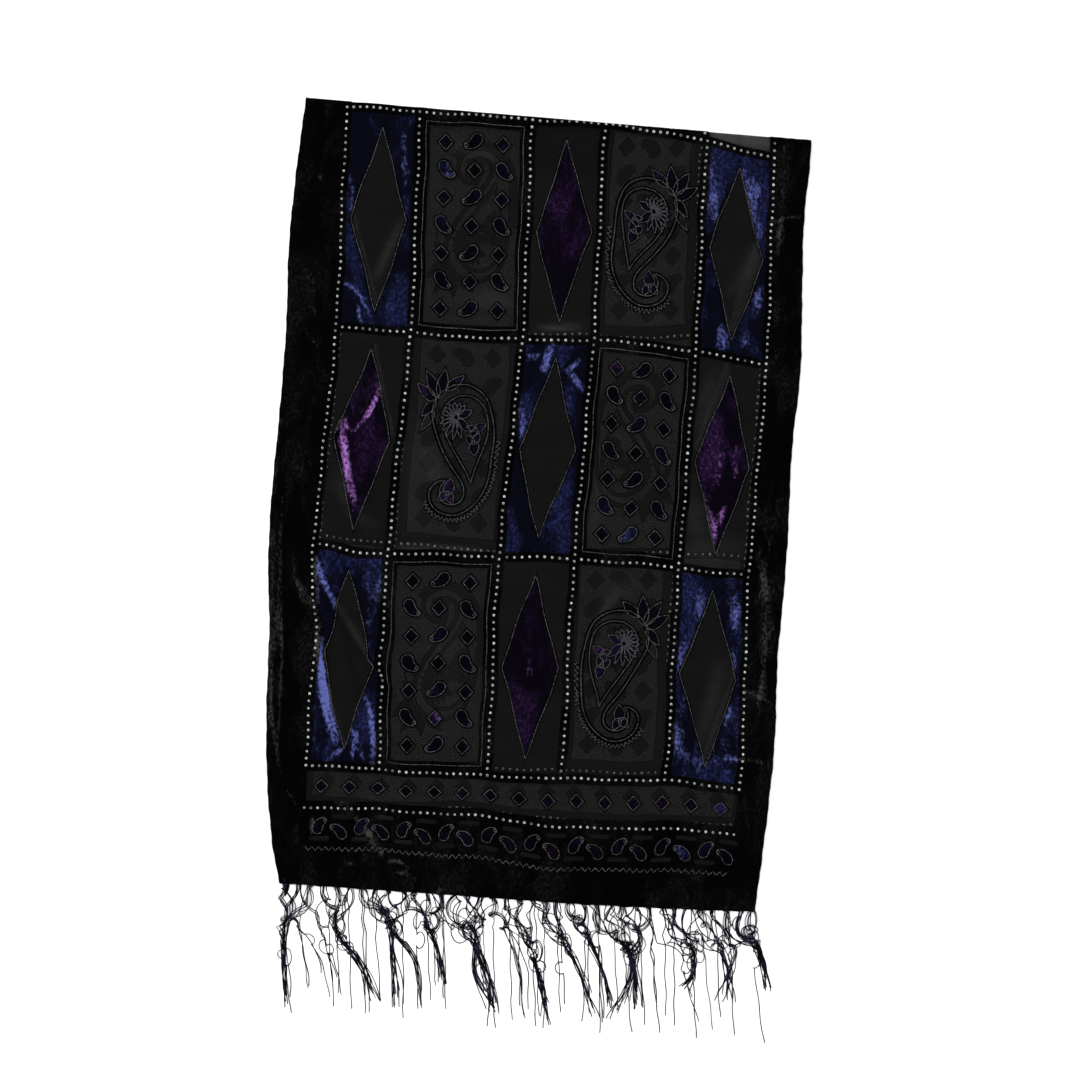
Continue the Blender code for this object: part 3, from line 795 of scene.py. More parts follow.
def selvedge_sheen(design):
    """The strip along part of the left selvedge where the pile gets a painted sheen."""
    inner = [(LEFT_EDGE + SELVEDGE + width, -from_fold) for from_fold, width in SELVEDGE_SHEEN]
    outer = [(LEFT_EDGE + SELVEDGE, -from_fold) for from_fold, _ in SELVEDGE_SHEEN[-2:0:-1]]
    design.area(BLACK, counter_clockwise(np.array(inner + outer, float)), 0.20)


def slot(design, middle):
    x, y = middle
    along = np.radians(np.arange(-90, 91, 30))
    right = np.stack([8.2 + 2.3 * np.cos(along), 2.3 * np.sin(along)], 1)
    design.area(SHEER, np.vstack([right, -right]) + (x, y))


def bead_rows(design):
    """Beads evenly along every line of the grid."""
    reach = ROWS_EACH_WAY * ROW_LENGTH
    count = round(2 * reach / BEAD_PITCH)
    for x in GRID:
        design.beads += [(x, reach - 2 * reach * i / count) for i in range(count + 1)]
    for y in [k * ROW_LENGTH for k in range(-ROWS_EACH_WAY, ROWS_EACH_WAY + 1)]:
        for left, right in zip(GRID, GRID[1:]):
            count = round((right - left) / BEAD_PITCH)
            design.beads += [(left + (right - left) * i / count, y) for i in range(1, count)]
    count = round((GRID[-1] - GRID[0]) / BEAD_PITCH)
    for y in (BAND_END, -BAND_END):
        design.beads += [(GRID[0] + (GRID[-1] - GRID[0]) * i / count, y) for i in range(count + 1)]


def whole_design():
    design = Design()
    for row in range(-ROWS_EACH_WAY, ROWS_EACH_WAY):
        kinds = ROW_A if row % 2 == 0 else ROW_B
        for column, kind in enumerate(kinds):
            CELLS[kind](design, column, row)
    for side in (1, -1):
        end_bands(design, side)
    selvedge_sheen(design)
    bead_rows(design)
    return design


# The waver of the hand-set lines, in mm: a row for each of these places from the fold and a column
# for each line of GRID. It fades to nothing at the cloth's sides and hems.
WAVER_PLACES = (0, 219, 438, 657, 702, 744, 781)
SIDE_FADE = 35
HEM_FADE = 20
WAVER_UP = (
    (0, 0, 0, 0, 0, 0),
    (-0.3, -2.8, -1.7, 3.2, 3.8, 0),
    (-0.4, -5.7, -0.9, 2.1, 1.7, -0.2),
    (-3.1, -3.8, -1.9, 0.4, 4.1, -2.0),
    (-0.6, 1.5, 2.0, -3.7, 1.1, -1.4),
    (0.5, 3.0, 2.0, -4.4, 1.9, 0.5),
    (0, 0, 0, 0, 0, 0),
)
WAVER_RIGHT = (
    (0, 0, 2.5, 2.9, 2.9, 0),
    (0, 1.2, 1.8, 0, 0, 0),
    (0, 0, -0.9, 1.0, 2.3, 0),
    (0, -1.4, -4.0, -3.0, -2.3, 0),
    (0, -1.0, -3.0, -2.0, -1.6, 0),
    (0, -0.5, -1.5, -1.0, -0.8, 0),
    (0, 0, 0, 0, 0, 0),
)


def table_at(table, x, place):
    """A table of the six lines by WAVER_PLACES, read evenly between its entries."""
    rows = np.array([np.interp(x, GRID, row) for row in table])
    after = np.clip(np.searchsorted(WAVER_PLACES, place), 1, len(WAVER_PLACES) - 1)
    steps = np.array(WAVER_PLACES, float)
    share = (place - steps[after - 1]) / (steps[after] - steps[after - 1])
    here = np.arange(len(place))
    return rows[after - 1, here] * (1 - share) + rows[after, here] * share


# Where the lower left pleat pulls the pattern: a place of the flat front, its reach and the mm moved
Pull = namedtuple("Pull", "x y reach right up")
PULLS = (
    Pull(-206, -541, 42.0, 7.5, 5.0),
    Pull(-180, -455, 22.0, 0.0, -4.6),
    Pull(-153, -556, 14.0, 0.0, -3.6),
)
PLEAT_START = (-207, -475)
PLEAT_END = (-138, -570)
# The pleat by shares of its length: how far it bows from a straight line and how much it swallows
PLEAT_PLACES = (0.0, 0.25, 0.76, 1.12)
PLEAT_BOW = (0.0, 1.5, -6.0, 0.0)
PLEAT_DEPTH = (0.0, 0.6, 7.0, 0.0)
# Its pull is whole up to one distance beside it and gone at the other, and no part folds back on itself
PLEAT_CLOSE = 9.0
PLEAT_REACH = 45.0
PLEAT_PACKING = 0.88


def pulled(points):
    """Pattern points of the front drawn to the lower left pleat, which swallows a strip of cloth."""
    x, y = points[:, 0], points[:, 1]
    moved = points.copy()
    for pull in PULLS:
        near = np.exp(-((x - pull.x) ** 2 + (y - pull.y) ** 2) / pull.reach**2)
        moved += near[:, None] * (pull.right, pull.up)
    chord = np.subtract(PLEAT_END, PLEAT_START)
    length = np.hypot(*chord)
    way = chord / length
    across = np.array((-way[1], way[0]))
    place = (moved - PLEAT_START) @ way / length
    side = (moved - PLEAT_START) @ across - np.interp(place, PLEAT_PLACES, PLEAT_BOW)
    depth = np.interp(place, PLEAT_PLACES, PLEAT_DEPTH)
    drawn = np.minimum(PLEAT_PACKING * np.maximum(side, 0.0), depth)
    drawn = drawn * (1.0 - smooth_step(PLEAT_CLOSE, PLEAT_REACH, side))
    moved -= drawn[:, None] * across
    return np.where((y < 0)[:, None], moved, points)


def wavered(points):
    """Pattern points moved off their ruled places by the listed and fine wavers, and by the pleat."""
    x, y = points[:, 0], points[:, 1]
    side = np.where(y > 0, -1.0, 1.0)
    place = np.minimum(np.abs(y), HEM_PLACE)
    right = table_at(WAVER_RIGHT, x * side, place)
    up = table_at(WAVER_UP, x * side, place)
    right = right + 0.7 * np.sin(y / 19.0 + x / 67.0) + 0.4 * np.sin(y / 8.3 + 1.7)
    up = up + 0.7 * np.sin(x / 17.0 + y / 83.0) + 0.4 * np.sin(x / 7.9 + 0.6)
    from_side = np.minimum(x - LEFT_EDGE, RIGHT_EDGE - x)
    fade = np.clip(from_side / SIDE_FADE, 0, 1) * np.clip((HEM_PLACE - np.abs(y)) / HEM_FADE, 0, 1)
    return pulled(points + np.stack([right, up], 1) * fade[:, None])


# Places that keep the cloth's triangles small, in mm: their pitch, and the steps round the bend
PITCH_ACROSS = 5.4
PITCH_ALONG = 5.0
BEND_STEPS = 8
# How much a crease has to raise the cloth for closer places, in metres
CREASED = 0.0003
# Points closer than this are one, and triangles smaller than this, in square mm, are left out
SAME_POINT = 1e-3
SLIVER = 1e-4


def spread_points():
    """Even places over the cloth, closer together where it is creased."""
    x, y = np.meshgrid(np.arange(-262, 254, PITCH_ACROSS), np.arange(-777, 778, PITCH_ALONG))
    x[::2] += PITCH_ACROSS / 2
    even = np.stack([x.ravel(), y.ravel()], 1)
    laid = lay(even, 0.0)
    creased = stroke_sum(CREASES, laid[:, 0], laid[:, 1], CREASE_TAPER) > CREASED
    creased &= even[:, 1] < 0
    close = np.vstack([even[creased] + move for move in ((1.35, 2.5), (-1.35, 2.5), (2.7, 0), (0, 1.2))])
    return np.vstack([even, close])


def bend_points():
    """Close rows of places round the bend, and the line where the two halves meet."""
    across = np.arange(-262, 254, PITCH_ALONG)
    _, top = bend_of(across / 1000)
    rows = []
    for step in range(BEND_STEPS + 1):
        from_fold = top - BEND_LENGTH * step / BEND_STEPS / TAKE_UP
        rows.append(np.stack([across, -from_fold * 1000], 1))
    edges = np.concatenate([[LEFT_EDGE], across, [RIGHT_EDGE]])
    seam = np.stack([edges, seam_place(edges)], 1)
    return np.vstack(rows), seam


def inside(points, loop):
    """Which points lie inside a closed loop."""
    x, y = points[:, 0][:, None], points[:, 1][:, None]
    after = np.roll(loop, -1, axis=0)
    over = (loop[:, 1] > y) != (after[:, 1] > y)
    rise = after[:, 1] - loop[:, 1]
    rise = np.where(np.abs(rise) < 1e-9, 1e-9, rise)
    crossing = loop[:, 0] + (y - loop[:, 1]) * (after[:, 0] - loop[:, 0]) / rise
    return (over & (x < crossing)).sum(1) % 2 == 1


def joined_paths(paths):
    """Several polylines as one list of points and one of edges."""
    points = []
    edges = []
    for path, closed in paths:
        first = len(points)
        points.extend(path.tolist())
        last = len(points) - 1
        edges.extend((i, i + 1) for i in range(first, last))
        if closed:
            edges.append((last, first))
    return np.array(points), edges


def hem_of(front):
    """The y of one half's hem on the flat cloth, in mm."""
    return -HEM_PLACE if front else HEM_PLACE


def half_of(flat):
    """Which points of the flat cloth belong to the front half."""
    return -flat[:, 1] / 1000 > seam_from_fold(flat[:, 0] / 1000)


def cut_cloth(design):
    """One triangulation of the flat cloth: each triangle's cloth, half and glow."""
    loops = [(cloth, wavered(loop), glow) for cloth, loop, glow in design.areas]
    bend, seam = bend_points()
    outline = even_steps(rectangle(LEFT_EDGE, -HEM_PLACE, RIGHT_EDGE, HEM_PLACE), PITCH_ALONG, True)
    points, edges = joined_paths([(loop, True) for _, loop, _ in loops] + [(seam, False), (outline, True)])
    points = np.vstack([points, bend, spread_points()])
    cut = delaunay_2d_cdt([Vector(p) for p in points], edges, [], 0, SAME_POINT)
    flat = np.array([tuple(p) for p in cut[0]])
    faces = np.array([face for face in cut[2] if len(face) == 3])
    a, b, c = (flat[faces[:, i]] for i in range(3))
    area = (b[:, 0] - a[:, 0]) * (c[:, 1] - a[:, 1]) - (b[:, 1] - a[:, 1]) * (c[:, 0] - a[:, 0])
    faces = np.where((area < 0)[:, None], faces[:, ::-1], faces)
    faces = faces[np.abs(area) > SLIVER]
    middles = flat[faces].mean(1)
    within = np.abs(middles[:, 1]) < HEM_PLACE
    within &= (middles[:, 0] > LEFT_EDGE) & (middles[:, 0] < RIGHT_EDGE)
    faces, middles = faces[within], middles[within]
    cloths = np.full(len(faces), BLACK)
    glows = np.zeros(len(faces))
    for cloth, loop, glow in loops:
        low, high = loop.min(0), loop.max(0)
        near = np.nonzero(np.all((middles > low) & (middles < high), axis=1))[0]
        if len(near):
            within = near[inside(middles[near], loop)]
            cloths[within] = cloth
            glows[within] = glow
    return flat, faces, cloths, half_of(middles), glows


# The UV map covers the flat cloth with a small margin, from UV_START in mm
UV_START = (LEFT_EDGE - 5, -HEM_PLACE - 9)
UV_WIDTH = 0.533
UV_LENGTH = 1.580


def new_object(name, data):
    made = bpy.data.objects.new(name, data)
    bpy.context.scene.collection.objects.link(made)
    return made


def make_mesh(name, points, faces, finish, flat=None, **amounts):
    """A smooth mesh object from arrays, with the flat cloth's places as its UV map."""
    mesh = bpy.data.meshes.new(name)
    mesh.from_pydata(points.tolist(), [], faces)
    mesh.polygons.foreach_set("use_smooth", np.ones(len(mesh.polygons), bool))
    if flat is not None:
        corners = np.empty(len(mesh.loops), int)
        mesh.loops.foreach_get("vertex_index", corners)
        uv = (flat[corners] - UV_START) / (UV_WIDTH * 1000, UV_LENGTH * 1000)
        mesh.uv_layers.new(name="flat_cloth").data.foreach_set("uv", uv.ravel())
    for label, values in amounts.items():
        mesh.attributes.new(label, "FLOAT", "POINT").data.foreach_set("value", values)
    mesh.materials.append(finish)
    mesh.update()
    return new_object(name, mesh)


# The painted highlight above a tuft: its strength, its half width and half length, and how far it lies above
# the hem
PUCKER_HIGHLIGHT = 0.62
PUCKER_WIDTH = 0.0011
PUCKER_LENGTH = 0.0030
PUCKER_ABOVE = 0.003


def pucker_highlights(x, y):
    """A short painted highlight above each tuft, where its knot draws the hem together."""
    number = np.clip(np.round((x - FIRST_TUFT_X) / TUFT_PITCH), 0, FRONT_TUFTS - 1)
    aside = x - FIRST_TUFT_X - number * TUFT_PITCH - 0.0015 * np.sin(5.0 * number)
    hem_y, _ = hem_edge(True)(x)
    above = y - hem_y - PUCKER_ABOVE * (1.0 + 0.5 * np.sin(7.0 * number))
    return PUCKER_HIGHLIGHT * np.exp(-((aside / PUCKER_WIDTH) ** 2) - (above / PUCKER_LENGTH) ** 2)


# The hidden half gets the same painted sheen and shade in the same places, seen from below, but less
BACK_SHEEN_AND_SHADE = 0.6


def crush_at(laid, front):
    """The painted sheen and shade of the pile at points of the laid cloth."""
    x, y = laid[:, 0], laid[:, 1]
    if front:
        return stroke_sum(PILE_SHEEN_AND_SHADE, x, y, MARK_TAPER) + pucker_highlights(x, y)
    return BACK_SHEEN_AND_SHADE * stroke_sum(PILE_SHEEN_AND_SHADE, -x, y, MARK_TAPER)


def make_pile(name, flat, faces, glows, front, finish):
    """The raised velvet of one colour, with edges that slope down to the ground cloth."""
    used, faces = np.unique(faces, return_inverse=True)
    faces = faces.reshape(-1, 3)
    flat = flat[used]
    glow = np.zeros(len(flat))
    glow[faces] = glows[:, None]
    sides = np.vstack([faces[:, [0, 1]], faces[:, [1, 2]], faces[:, [2, 0]]])
    keys = sides[:, 0] * len(flat) + sides[:, 1]
    mirrored = sides[:, 1] * len(flat) + sides[:, 0]
    rim = sides[~np.isin(keys, mirrored)]
    along = flat[rim[:, 1]] - flat[rim[:, 0]]
    along /= np.maximum(np.linalg.norm(along, axis=1), 1e-9)[:, None]
    inwards = np.zeros_like(flat)
    for end in (0, 1):
        np.add.at(inwards, rim[:, end], np.stack([-along[:, 1], along[:, 0]], 1))
    length = np.linalg.norm(inwards, axis=1)
    inwards = inwards / np.maximum(length, PILE_CORNER)[:, None]
    top_flat = flat + PILE_INSET * inwards
    top = lay(top_flat, GROUND_THICKNESS / 2 + (PILE_HEIGHT if front else BACK_PILE_HEIGHT))
    rim_points, rim_index = np.unique(rim, return_inverse=True)
    rim_index = rim_index.reshape(-1, 2) + len(top)
    foot = lay(flat[rim_points], GROUND_THICKNESS / 2 - PILE_FOOT)
    skirt = np.column_stack([rim_index[:, 0], rim_index[:, 1], rim[:, 1], rim[:, 0]])
    points = np.vstack([top, foot])
    places = np.vstack([top_flat, flat[rim_points]])
    # The pile's painted sheen and shade: its strokes, the pucker highlights and its areas' glow
    crush = crush_at(points, front) + np.concatenate([glow, glow[rim_points]])
    return make_mesh(name, points, faces.tolist() + skirt.tolist(), finish, places, crush=crush)


def make_ground(name, flat_grid, front, finish):
    """The sheer ground cloth: a thin closed wall over a grid of the flat cloth's places."""
    rows, columns = flat_grid.shape[:2]
    flat = flat_grid.reshape(-1, 2)
    top = lay(flat, GROUND_THICKNESS / 2)
    bottom = lay(flat, -GROUND_THICKNESS / 2)
    index = np.arange(rows * columns).reshape(rows, columns)
    a, b, c, d = index[:-1, :-1], index[:-1, 1:], index[1:, 1:], index[1:, :-1]
    upper = np.stack([a, b, c, d], -1).reshape(-1, 4)
    lower = upper[:, ::-1] + len(flat)
    around = np.concatenate([index[0, :-1], index[:-1, -1], index[-1, :0:-1], index[:0:-1, 0]])
    after = np.roll(around, -1)
    wall = np.column_stack([after, around, around + len(flat), after + len(flat)])
    faces = np.vstack([upper, lower, wall]).tolist()
    # The front's sheer cloth gets painted light and shade in its fold bands
    fold_light_and_shade = stroke_sum(SHEER_LIGHT_AND_SHADE, top[:, 0], top[:, 1], SHEER_TAPER) if front else np.zeros(len(flat))
    close = trim_lift(flat, 0.0, 1.0) if front else np.ones(len(flat))
    twice = {"crush": np.tile(fold_light_and_shade, 2), "closeness": np.tile(close, 2)}
    return make_mesh(name, np.vstack([top, bottom]), faces, finish, np.vstack([flat, flat]), **twice)


def across_stations(coarse, fine):
    """Places across the flat cloth, close together where the borders are creased."""
    left = np.arange(LEFT_EDGE, -120, fine)
    middle = np.arange(-120, 185, coarse)
    right = np.append(np.arange(185, RIGHT_EDGE, fine * 1.3), RIGHT_EDGE)
    return np.concatenate([left, middle, right])


def grid_of(across, from_fold):
    """Places of the flat cloth, in mm, from places across in mm and rows from the fold in metres."""
    return np.dstack([np.broadcast_to(across, from_fold.shape), -from_fold * 1000])


def front_grid():
    across = across_stations(5.0, 3.6)
    _, top = bend_of(across / 1000)
    share = np.linspace(0, 1, 190)[:, None]
    panel = FOLD_TO_HEM + (top - FOLD_TO_HEM) * share
    turn = np.linspace(0, 1, BEND_STEPS + 1)[1:, None]
    bend = top - BEND_LENGTH / TAKE_UP * turn
    seam = seam_from_fold(across / 1000)[None, :]
    return grid_of(across, np.vstack([panel, bend, seam]))


def back_grid():
    across = across_stations(13.0, 12.0)
    seam = seam_from_fold(across / 1000)
    share = np.linspace(0, 1, 70)[:, None]
    return grid_of(across, seam + (-FOLD_TO_HEM - seam) * share)


class Tree:
    """Adds nodes to a tree: each by its type, its settings and its sockets' values or links."""

    def __init__(self, tree):
        self.tree = tree

    def add(self, kind, settings=None, sockets=None):
        node = self.tree.nodes.new(kind)
        for name, value in (settings or {}).items():
            setattr(node, name, value)
        for name, value in (sockets or {}).items():
            self.join(value, node.inputs[name])
        return node

    def join(self, value, socket):
        if isinstance(value, Amount):
            value = value.socket
        if isinstance(value, bpy.types.NodeSocket):
            self.tree.links.new(value, socket)
        else:
            socket.default_value = value


class Amount:
    """A number that varies over a surface, worked out by the tree's Math nodes."""

    def __init__(self, tree, socket):
        self.tree = tree
        self.socket = socket

    def maths(self, operation, first, second, clamped=False):
        settings = {"operation": operation, "use_clamp": clamped}
        node = self.tree.add("ShaderNodeMath", settings, {0: first, 1: second})
        return Amount(self.tree, node.outputs[0])

    def __add__(self, other):
        return self.maths("ADD", self, other)

    __radd__ = __add__

    def __sub__(self, other):
        return self.maths("SUBTRACT", self, other)

    def __rsub__(self, other):
        return self.maths("SUBTRACT", other, self)

    def __mul__(self, other):
        return self.maths("MULTIPLY", self, other)

    __rmul__ = __mul__

    def clamped(self):
        return self.maths("MULTIPLY", self, 1.0, True)

    def size(self):
        return self.maths("ABSOLUTE", self, 0.0)

    def at_most(self, other):
        return self.maths("MINIMUM", self, other)

    def at_least(self, other):
        return self.maths("MAXIMUM", self, other)


class Finish(Tree):
    """A material with one Principled shader. Constants are set on the shader's own sockets."""

    def __init__(self, name, constants):
        self.material = bpy.data.materials.new(name)
        self.material.use_nodes = True
        super().__init__(self.material.node_tree)
        self.shader = self.tree.nodes["Principled BSDF"]
        for socket, value in constants.items():
            self.shader.inputs[socket].default_value = value

    def give(self, socket, value):
        self.join(value, self.shader.inputs[socket])

    def tint(self, amount, dark, light):
        """The base colour: somewhere from dark to light, by an amount."""
        self.give("Base Color", self.mixed(amount, colour(*dark), colour(*light)))

    def flat_places(self, across, along):
        """The flat cloth's places in metres, stretched across and along it."""
        uv = self.add("ShaderNodeUVMap", {"uv_map": "flat_cloth"})
        size = (UV_WIDTH * across, UV_LENGTH * along, 1.0)
        sockets = {"Vector": uv.outputs[0], "Scale": size}
        return self.add("ShaderNodeMapping", None, sockets).outputs[0]

    def noise(self, places, scale, detail, roughness, distortion=0.0):
        sockets = {"Vector": places, "Scale": scale, "Detail": detail}
        sockets.update({"Roughness": roughness, "Distortion": distortion})
        node = self.add("ShaderNodeTexNoise", {"noise_dimensions": "3D"}, sockets)
        return Amount(self, node.outputs["Fac"])

    def ramp(self, amount, low, high):
        """0 below low, 1 above high, and a soft step between."""
        settings = {"interpolation_type": "SMOOTHSTEP"}
        sockets = {"Value": amount, "From Min": low, "From Max": high}
        return Amount(self, self.add("ShaderNodeMapRange", settings, sockets).outputs["Result"])

    def mixed(self, amount, first, second):
        """A colour between two, by an amount."""
        node = self.add("ShaderNodeMix", {"data_type": "RGBA"})
        self.join(amount, node.inputs[0])
        self.join(first, node.inputs[6])
        self.join(second, node.inputs[7])
        return node.outputs[2]

    def attribute(self, name):
        node = self.add("ShaderNodeAttribute", {"attribute_name": name})
        return Amount(self, node.outputs["Fac"])

    def with_surface(self, roughness, height, distance, strength):
        """The material, once it has its roughness and its fine relief."""
        self.give("Roughness", roughness)
        sockets = {"Height": height, "Distance": distance, "Strength": strength}
        self.give("Normal", self.add("ShaderNodeBump", None, sockets).outputs[0])
        return self.material


def colour(r, g, b):
    return (r, g, b, 1.0)


def velvet(name, deep, lit, bright, reach):
    """Velvet: deep where its pile stands, a painted sheen in flecked patches, a painted highlight where it
    lies crushed and painted shade where it is marked dark.
    """
    finish = Finish(name, {"Sheen Weight": 0.0012, "Sheen Roughness": 0.5, "Specular IOR Level": 0.015})
    patches = finish.noise(finish.flat_places(1.0, 0.5), 27.0, 3.0, 0.62, 0.6)
    flecks = finish.noise(finish.flat_places(1.0, 0.75), 330.0, 3.0, 0.72)
    grain = finish.noise(finish.flat_places(1.0, 0.9), 1250.0, 2.0, 0.6)
    wander = finish.noise(finish.flat_places(1.0, 0.45), 44.0, 2.0, 0.55, 1.1)
    crush = finish.attribute("crush")
    # Painted shade: where the attribute is negative, the painted sheen is dimmed
    dark = 1.0 + 0.8 * crush.at_most(0.0).at_least(-1.0)
    fleck = finish.ramp(flecks, 0.44, 0.70)
    threadlike = 1.0 - finish.ramp((wander - 0.5).size(), 0.004, 0.020)
    # The lit colour is a painted sheen, in flecked patches and thread-like streaks
    where = finish.ramp(patches, 0.44, 0.70)
    sheen_patches = where * (0.18 + 1.15 * fleck)
    sheen_patches = sheen_patches + threadlike * finish.ramp(patches, 0.40, 0.58) * (0.15 + 0.75 * fleck)
    sheen_patches = (sheen_patches * reach * dark * (0.55 + 0.9 * grain)).clamped()
    # A painted highlight in ragged streaks where the attribute is positive, mixing towards the bright colour
    streaks = finish.noise(finish.flat_places(1.0, 0.35), 95.0, 3.0, 0.65, 0.4)
    highlight = (crush + 1.3 * (streaks - 0.5)) * finish.ramp(crush, 0.0, 0.12)
    highlight = highlight * (0.38 + 1.0 * finish.ramp(flecks, 0.36, 0.66)) * (0.6 + 0.8 * grain)
    highlight = finish.ramp(highlight, 0.10, 1.0)
    # Painted shade: a duller deep colour where the attribute is strongly negative
    painted_shade = colour(*(0.45 * part for part in deep[:3]))
    deep_with_shade = finish.mixed(finish.ramp(crush, -1.0, -0.6), painted_shade, deep)
    shade = finish.mixed(sheen_patches, deep_with_shade, lit)
    finish.give("Base Color", finish.mixed(highlight, shade, bright))
    relief = grain * 0.5 + flecks * 0.8 + patches * 0.5 + threadlike * 0.25
    return finish.with_surface(0.90 - 0.2 * highlight, relief, 0.0006, 0.6)


# How much the sheer cloth covers where it is one layer, and where it lies doubled
OPEN_ALPHA = 0.26
CLOSE_ALPHA = 0.665


def georgette():
    """Thin crepe with a fine uneven weave: seen through on the front, closer where it lies doubled."""
    finish = Finish("georgette", {"Specular IOR Level": 0.02})
    crepe = finish.noise(finish.flat_places(1.0, 1.0), 2600.0, 1.0, 0.5)
    slubs = finish.noise(finish.flat_places(0.12, 1.0), 260.0, 2.0, 0.6)
    cloudy = finish.noise(finish.flat_places(0.35, 1.0), 38.0, 2.0, 0.6)
    crush = finish.attribute("crush")
    # Painted shade: where the attribute is negative, the cloth is darker
    painted_shade = 1.0 + crush.at_most(0.0).at_least(-0.8)
    amount = (0.42 + 0.16 * crepe + 0.42 * slubs) * (0.40 + 1.2 * cloudy) * painted_shade
    shade = finish.mixed(amount, colour(0.0019, 0.0019, 0.0019), colour(0.0083, 0.0081, 0.0080))
    # Painted light: where the attribute is positive, the colour goes towards a pale grey
    fold_light_and_shade = (crush * (0.35 + 0.9 * slubs)).clamped()
    finish.give("Base Color", finish.mixed(fold_light_and_shade, shade, colour(0.040, 0.040, 0.039)))
    finish.give("Alpha", OPEN_ALPHA + (CLOSE_ALPHA - OPEN_ALPHA) * finish.attribute("closeness"))
    return finish.with_surface(0.80 + 0.15 * crepe, cloudy + slubs * 0.15, 0.0006, 0.25)


def noisy_finish(name, constants, *noises):
    """A finish with noises over the object's own places: their scale, detail and roughness."""
    finish = Finish(name, constants)
    places = finish.add("ShaderNodeTexCoord").outputs["Object"]
    return finish, *(finish.noise(places, *noise) for noise in noises)


def silver_thread():
    """Couched metallic thread, with the close sparkle of its wrapped strands painted into its colour."""
    shine = {"Metallic": 0.25, "Specular IOR Level": 0.12}
    finish, wraps, sparkle_strength = noisy_finish("silver_thread", shine, (900.0, 1.0, 0.5), (55.0, 2.0, 0.6))
    # Painted glints: the colour goes lighter on its wraps, in patches of stronger and weaker sparkle
    amount = finish.ramp(wraps, 0.38, 0.66) * (0.35 + 0.85 * sparkle_strength)
    finish.tint(amount, (0.003, 0.003, 0.004), (0.125, 0.125, 0.13))
    return finish.with_surface(0.42 + 0.25 * wraps, wraps, 0.0004, 0.7)


def silver_bead():
    """Small bright cut beads, each a little different."""
    shine = {"Metallic": 0.3, "Specular IOR Level": 0.3}
    finish, each, facets = noisy_finish("silver_bead", shine, (190.0, 1.0, 0.5), (1500.0, 1.0, 0.5))
    amount = finish.ramp(each, 0.30, 0.72) * (0.35 + finish.ramp(facets, 0.38, 0.62) * 0.75)
    finish.tint(amount, (0.10, 0.10, 0.105), (0.72, 0.72, 0.73))
    return finish.with_surface(0.30 + 0.2 * facets, facets, 0.0004, 0.7)


def fringe_thread():
    """Soft twisted thread, near black with a slight violet tone, and a painted violet sheen in patches where
    the light would take it.
    """
    shine = {"Specular IOR Level": 0.05}
    finish, strand, twist = noisy_finish("fringe_thread", shine, (75.0, 2.0, 0.6), (1300.0, 1.0, 0.5))
    amount = finish.ramp(strand, 0.38, 0.68) * (0.35 + 0.9 * twist)
    finish.tint(amount, (0.0010, 0.0008, 0.0016), (0.012, 0.0075, 0.027))
    return finish.with_surface(0.60 + 0.2 * twist, twist, 0.0003, 0.6)


def rolled_hem():
    """The narrow rolled hem: black velvet over a stiff edge, puckered by its stitches."""
    shine = {"Specular IOR Level": 0.03}
    finish, stitches, grain = noisy_finish("rolled_hem", shine, (300.0, 2.0, 0.5), (1100.0, 2.0, 0.6))
    # Painted sheen: the velvet goes lighter in flecks where its stitches pucker it
    amount = finish.ramp(stitches, 0.52, 0.78) * (0.4 + 0.8 * grain)
    finish.tint(amount, (0.0010, 0.0010, 0.0012), (0.0075, 0.0075, 0.0080))
    return finish.with_surface(0.80 + 0.15 * grain, stitches + grain * 0.4, 0.0007, 0.6)


def pale_floor():
    finish, cloudy = noisy_finish("pale_floor", {"Specular IOR Level": 0.1}, (3.0, 2.0, 0.5))
    finish.tint(cloudy, (0.90, 0.90, 0.90), (0.94, 0.94, 0.94))
    finish.give("Roughness", 0.85 + 0.1 * cloudy)
    return finish.material


def new_group(name, sizes):
    """A geometry tree with a mesh in, named sizes and a finish, and geometry out."""
    group = bpy.data.node_groups.new(name, "GeometryNodeTree")
    group.interface.new_socket("Geometry", in_out="INPUT", socket_type="NodeSocketGeometry")
    for size, kind in sizes:
        group.interface.new_socket(size, in_out="INPUT", socket_type=kind)
    group.interface.new_socket("Finish", in_out="INPUT", socket_type="NodeSocketMaterial")
    group.interface.new_socket("Geometry", in_out="OUTPUT", socket_type="NodeSocketGeometry")
    tree = Tree(group)
    given = tree.add("NodeGroupInput")
    return group, tree, given.outputs


def finish_group(tree, given, geometry):
    smooth = tree.add("GeometryNodeSetShadeSmooth", None, {"Geometry": geometry})
    solid = tree.add("GeometryNodeRealizeInstances", None, {"Geometry": smooth.outputs[0]})
    sockets = {"Geometry": solid.outputs[0], "Material": given["Finish"]}
    covered = tree.add("GeometryNodeSetMaterial", None, sockets)
    out = tree.add("NodeGroupOutput")
    tree.join(covered.outputs[0], out.inputs[0])


def ring_of(tree, sides, radius):
    sockets = {"Resolution": sides, "Radius": radius}
    return tree.add("GeometryNodeCurvePrimitiveCircle", {"mode": "RADIUS"}, sockets).outputs[0]


def thread_group():
    """Round thread along every path of edges."""
    sizes = (("Radius", "NodeSocketFloat"), ("Sides", "NodeSocketInt"))
    group, tree, given = new_group("thread_along_paths", sizes)
    path = tree.add("GeometryNodeMeshToCurve", None, {"Mesh": given["Geometry"]})
    ring = ring_of(tree, given["Sides"], given["Radius"])
    sockets = {"Curve": path.outputs[0], "Profile Curve": ring, "Fill Caps": True}
    tube = tree.add("GeometryNodeCurveToMesh", None, sockets)
    finish_group(tree, given, tube.outputs[0])
    return group


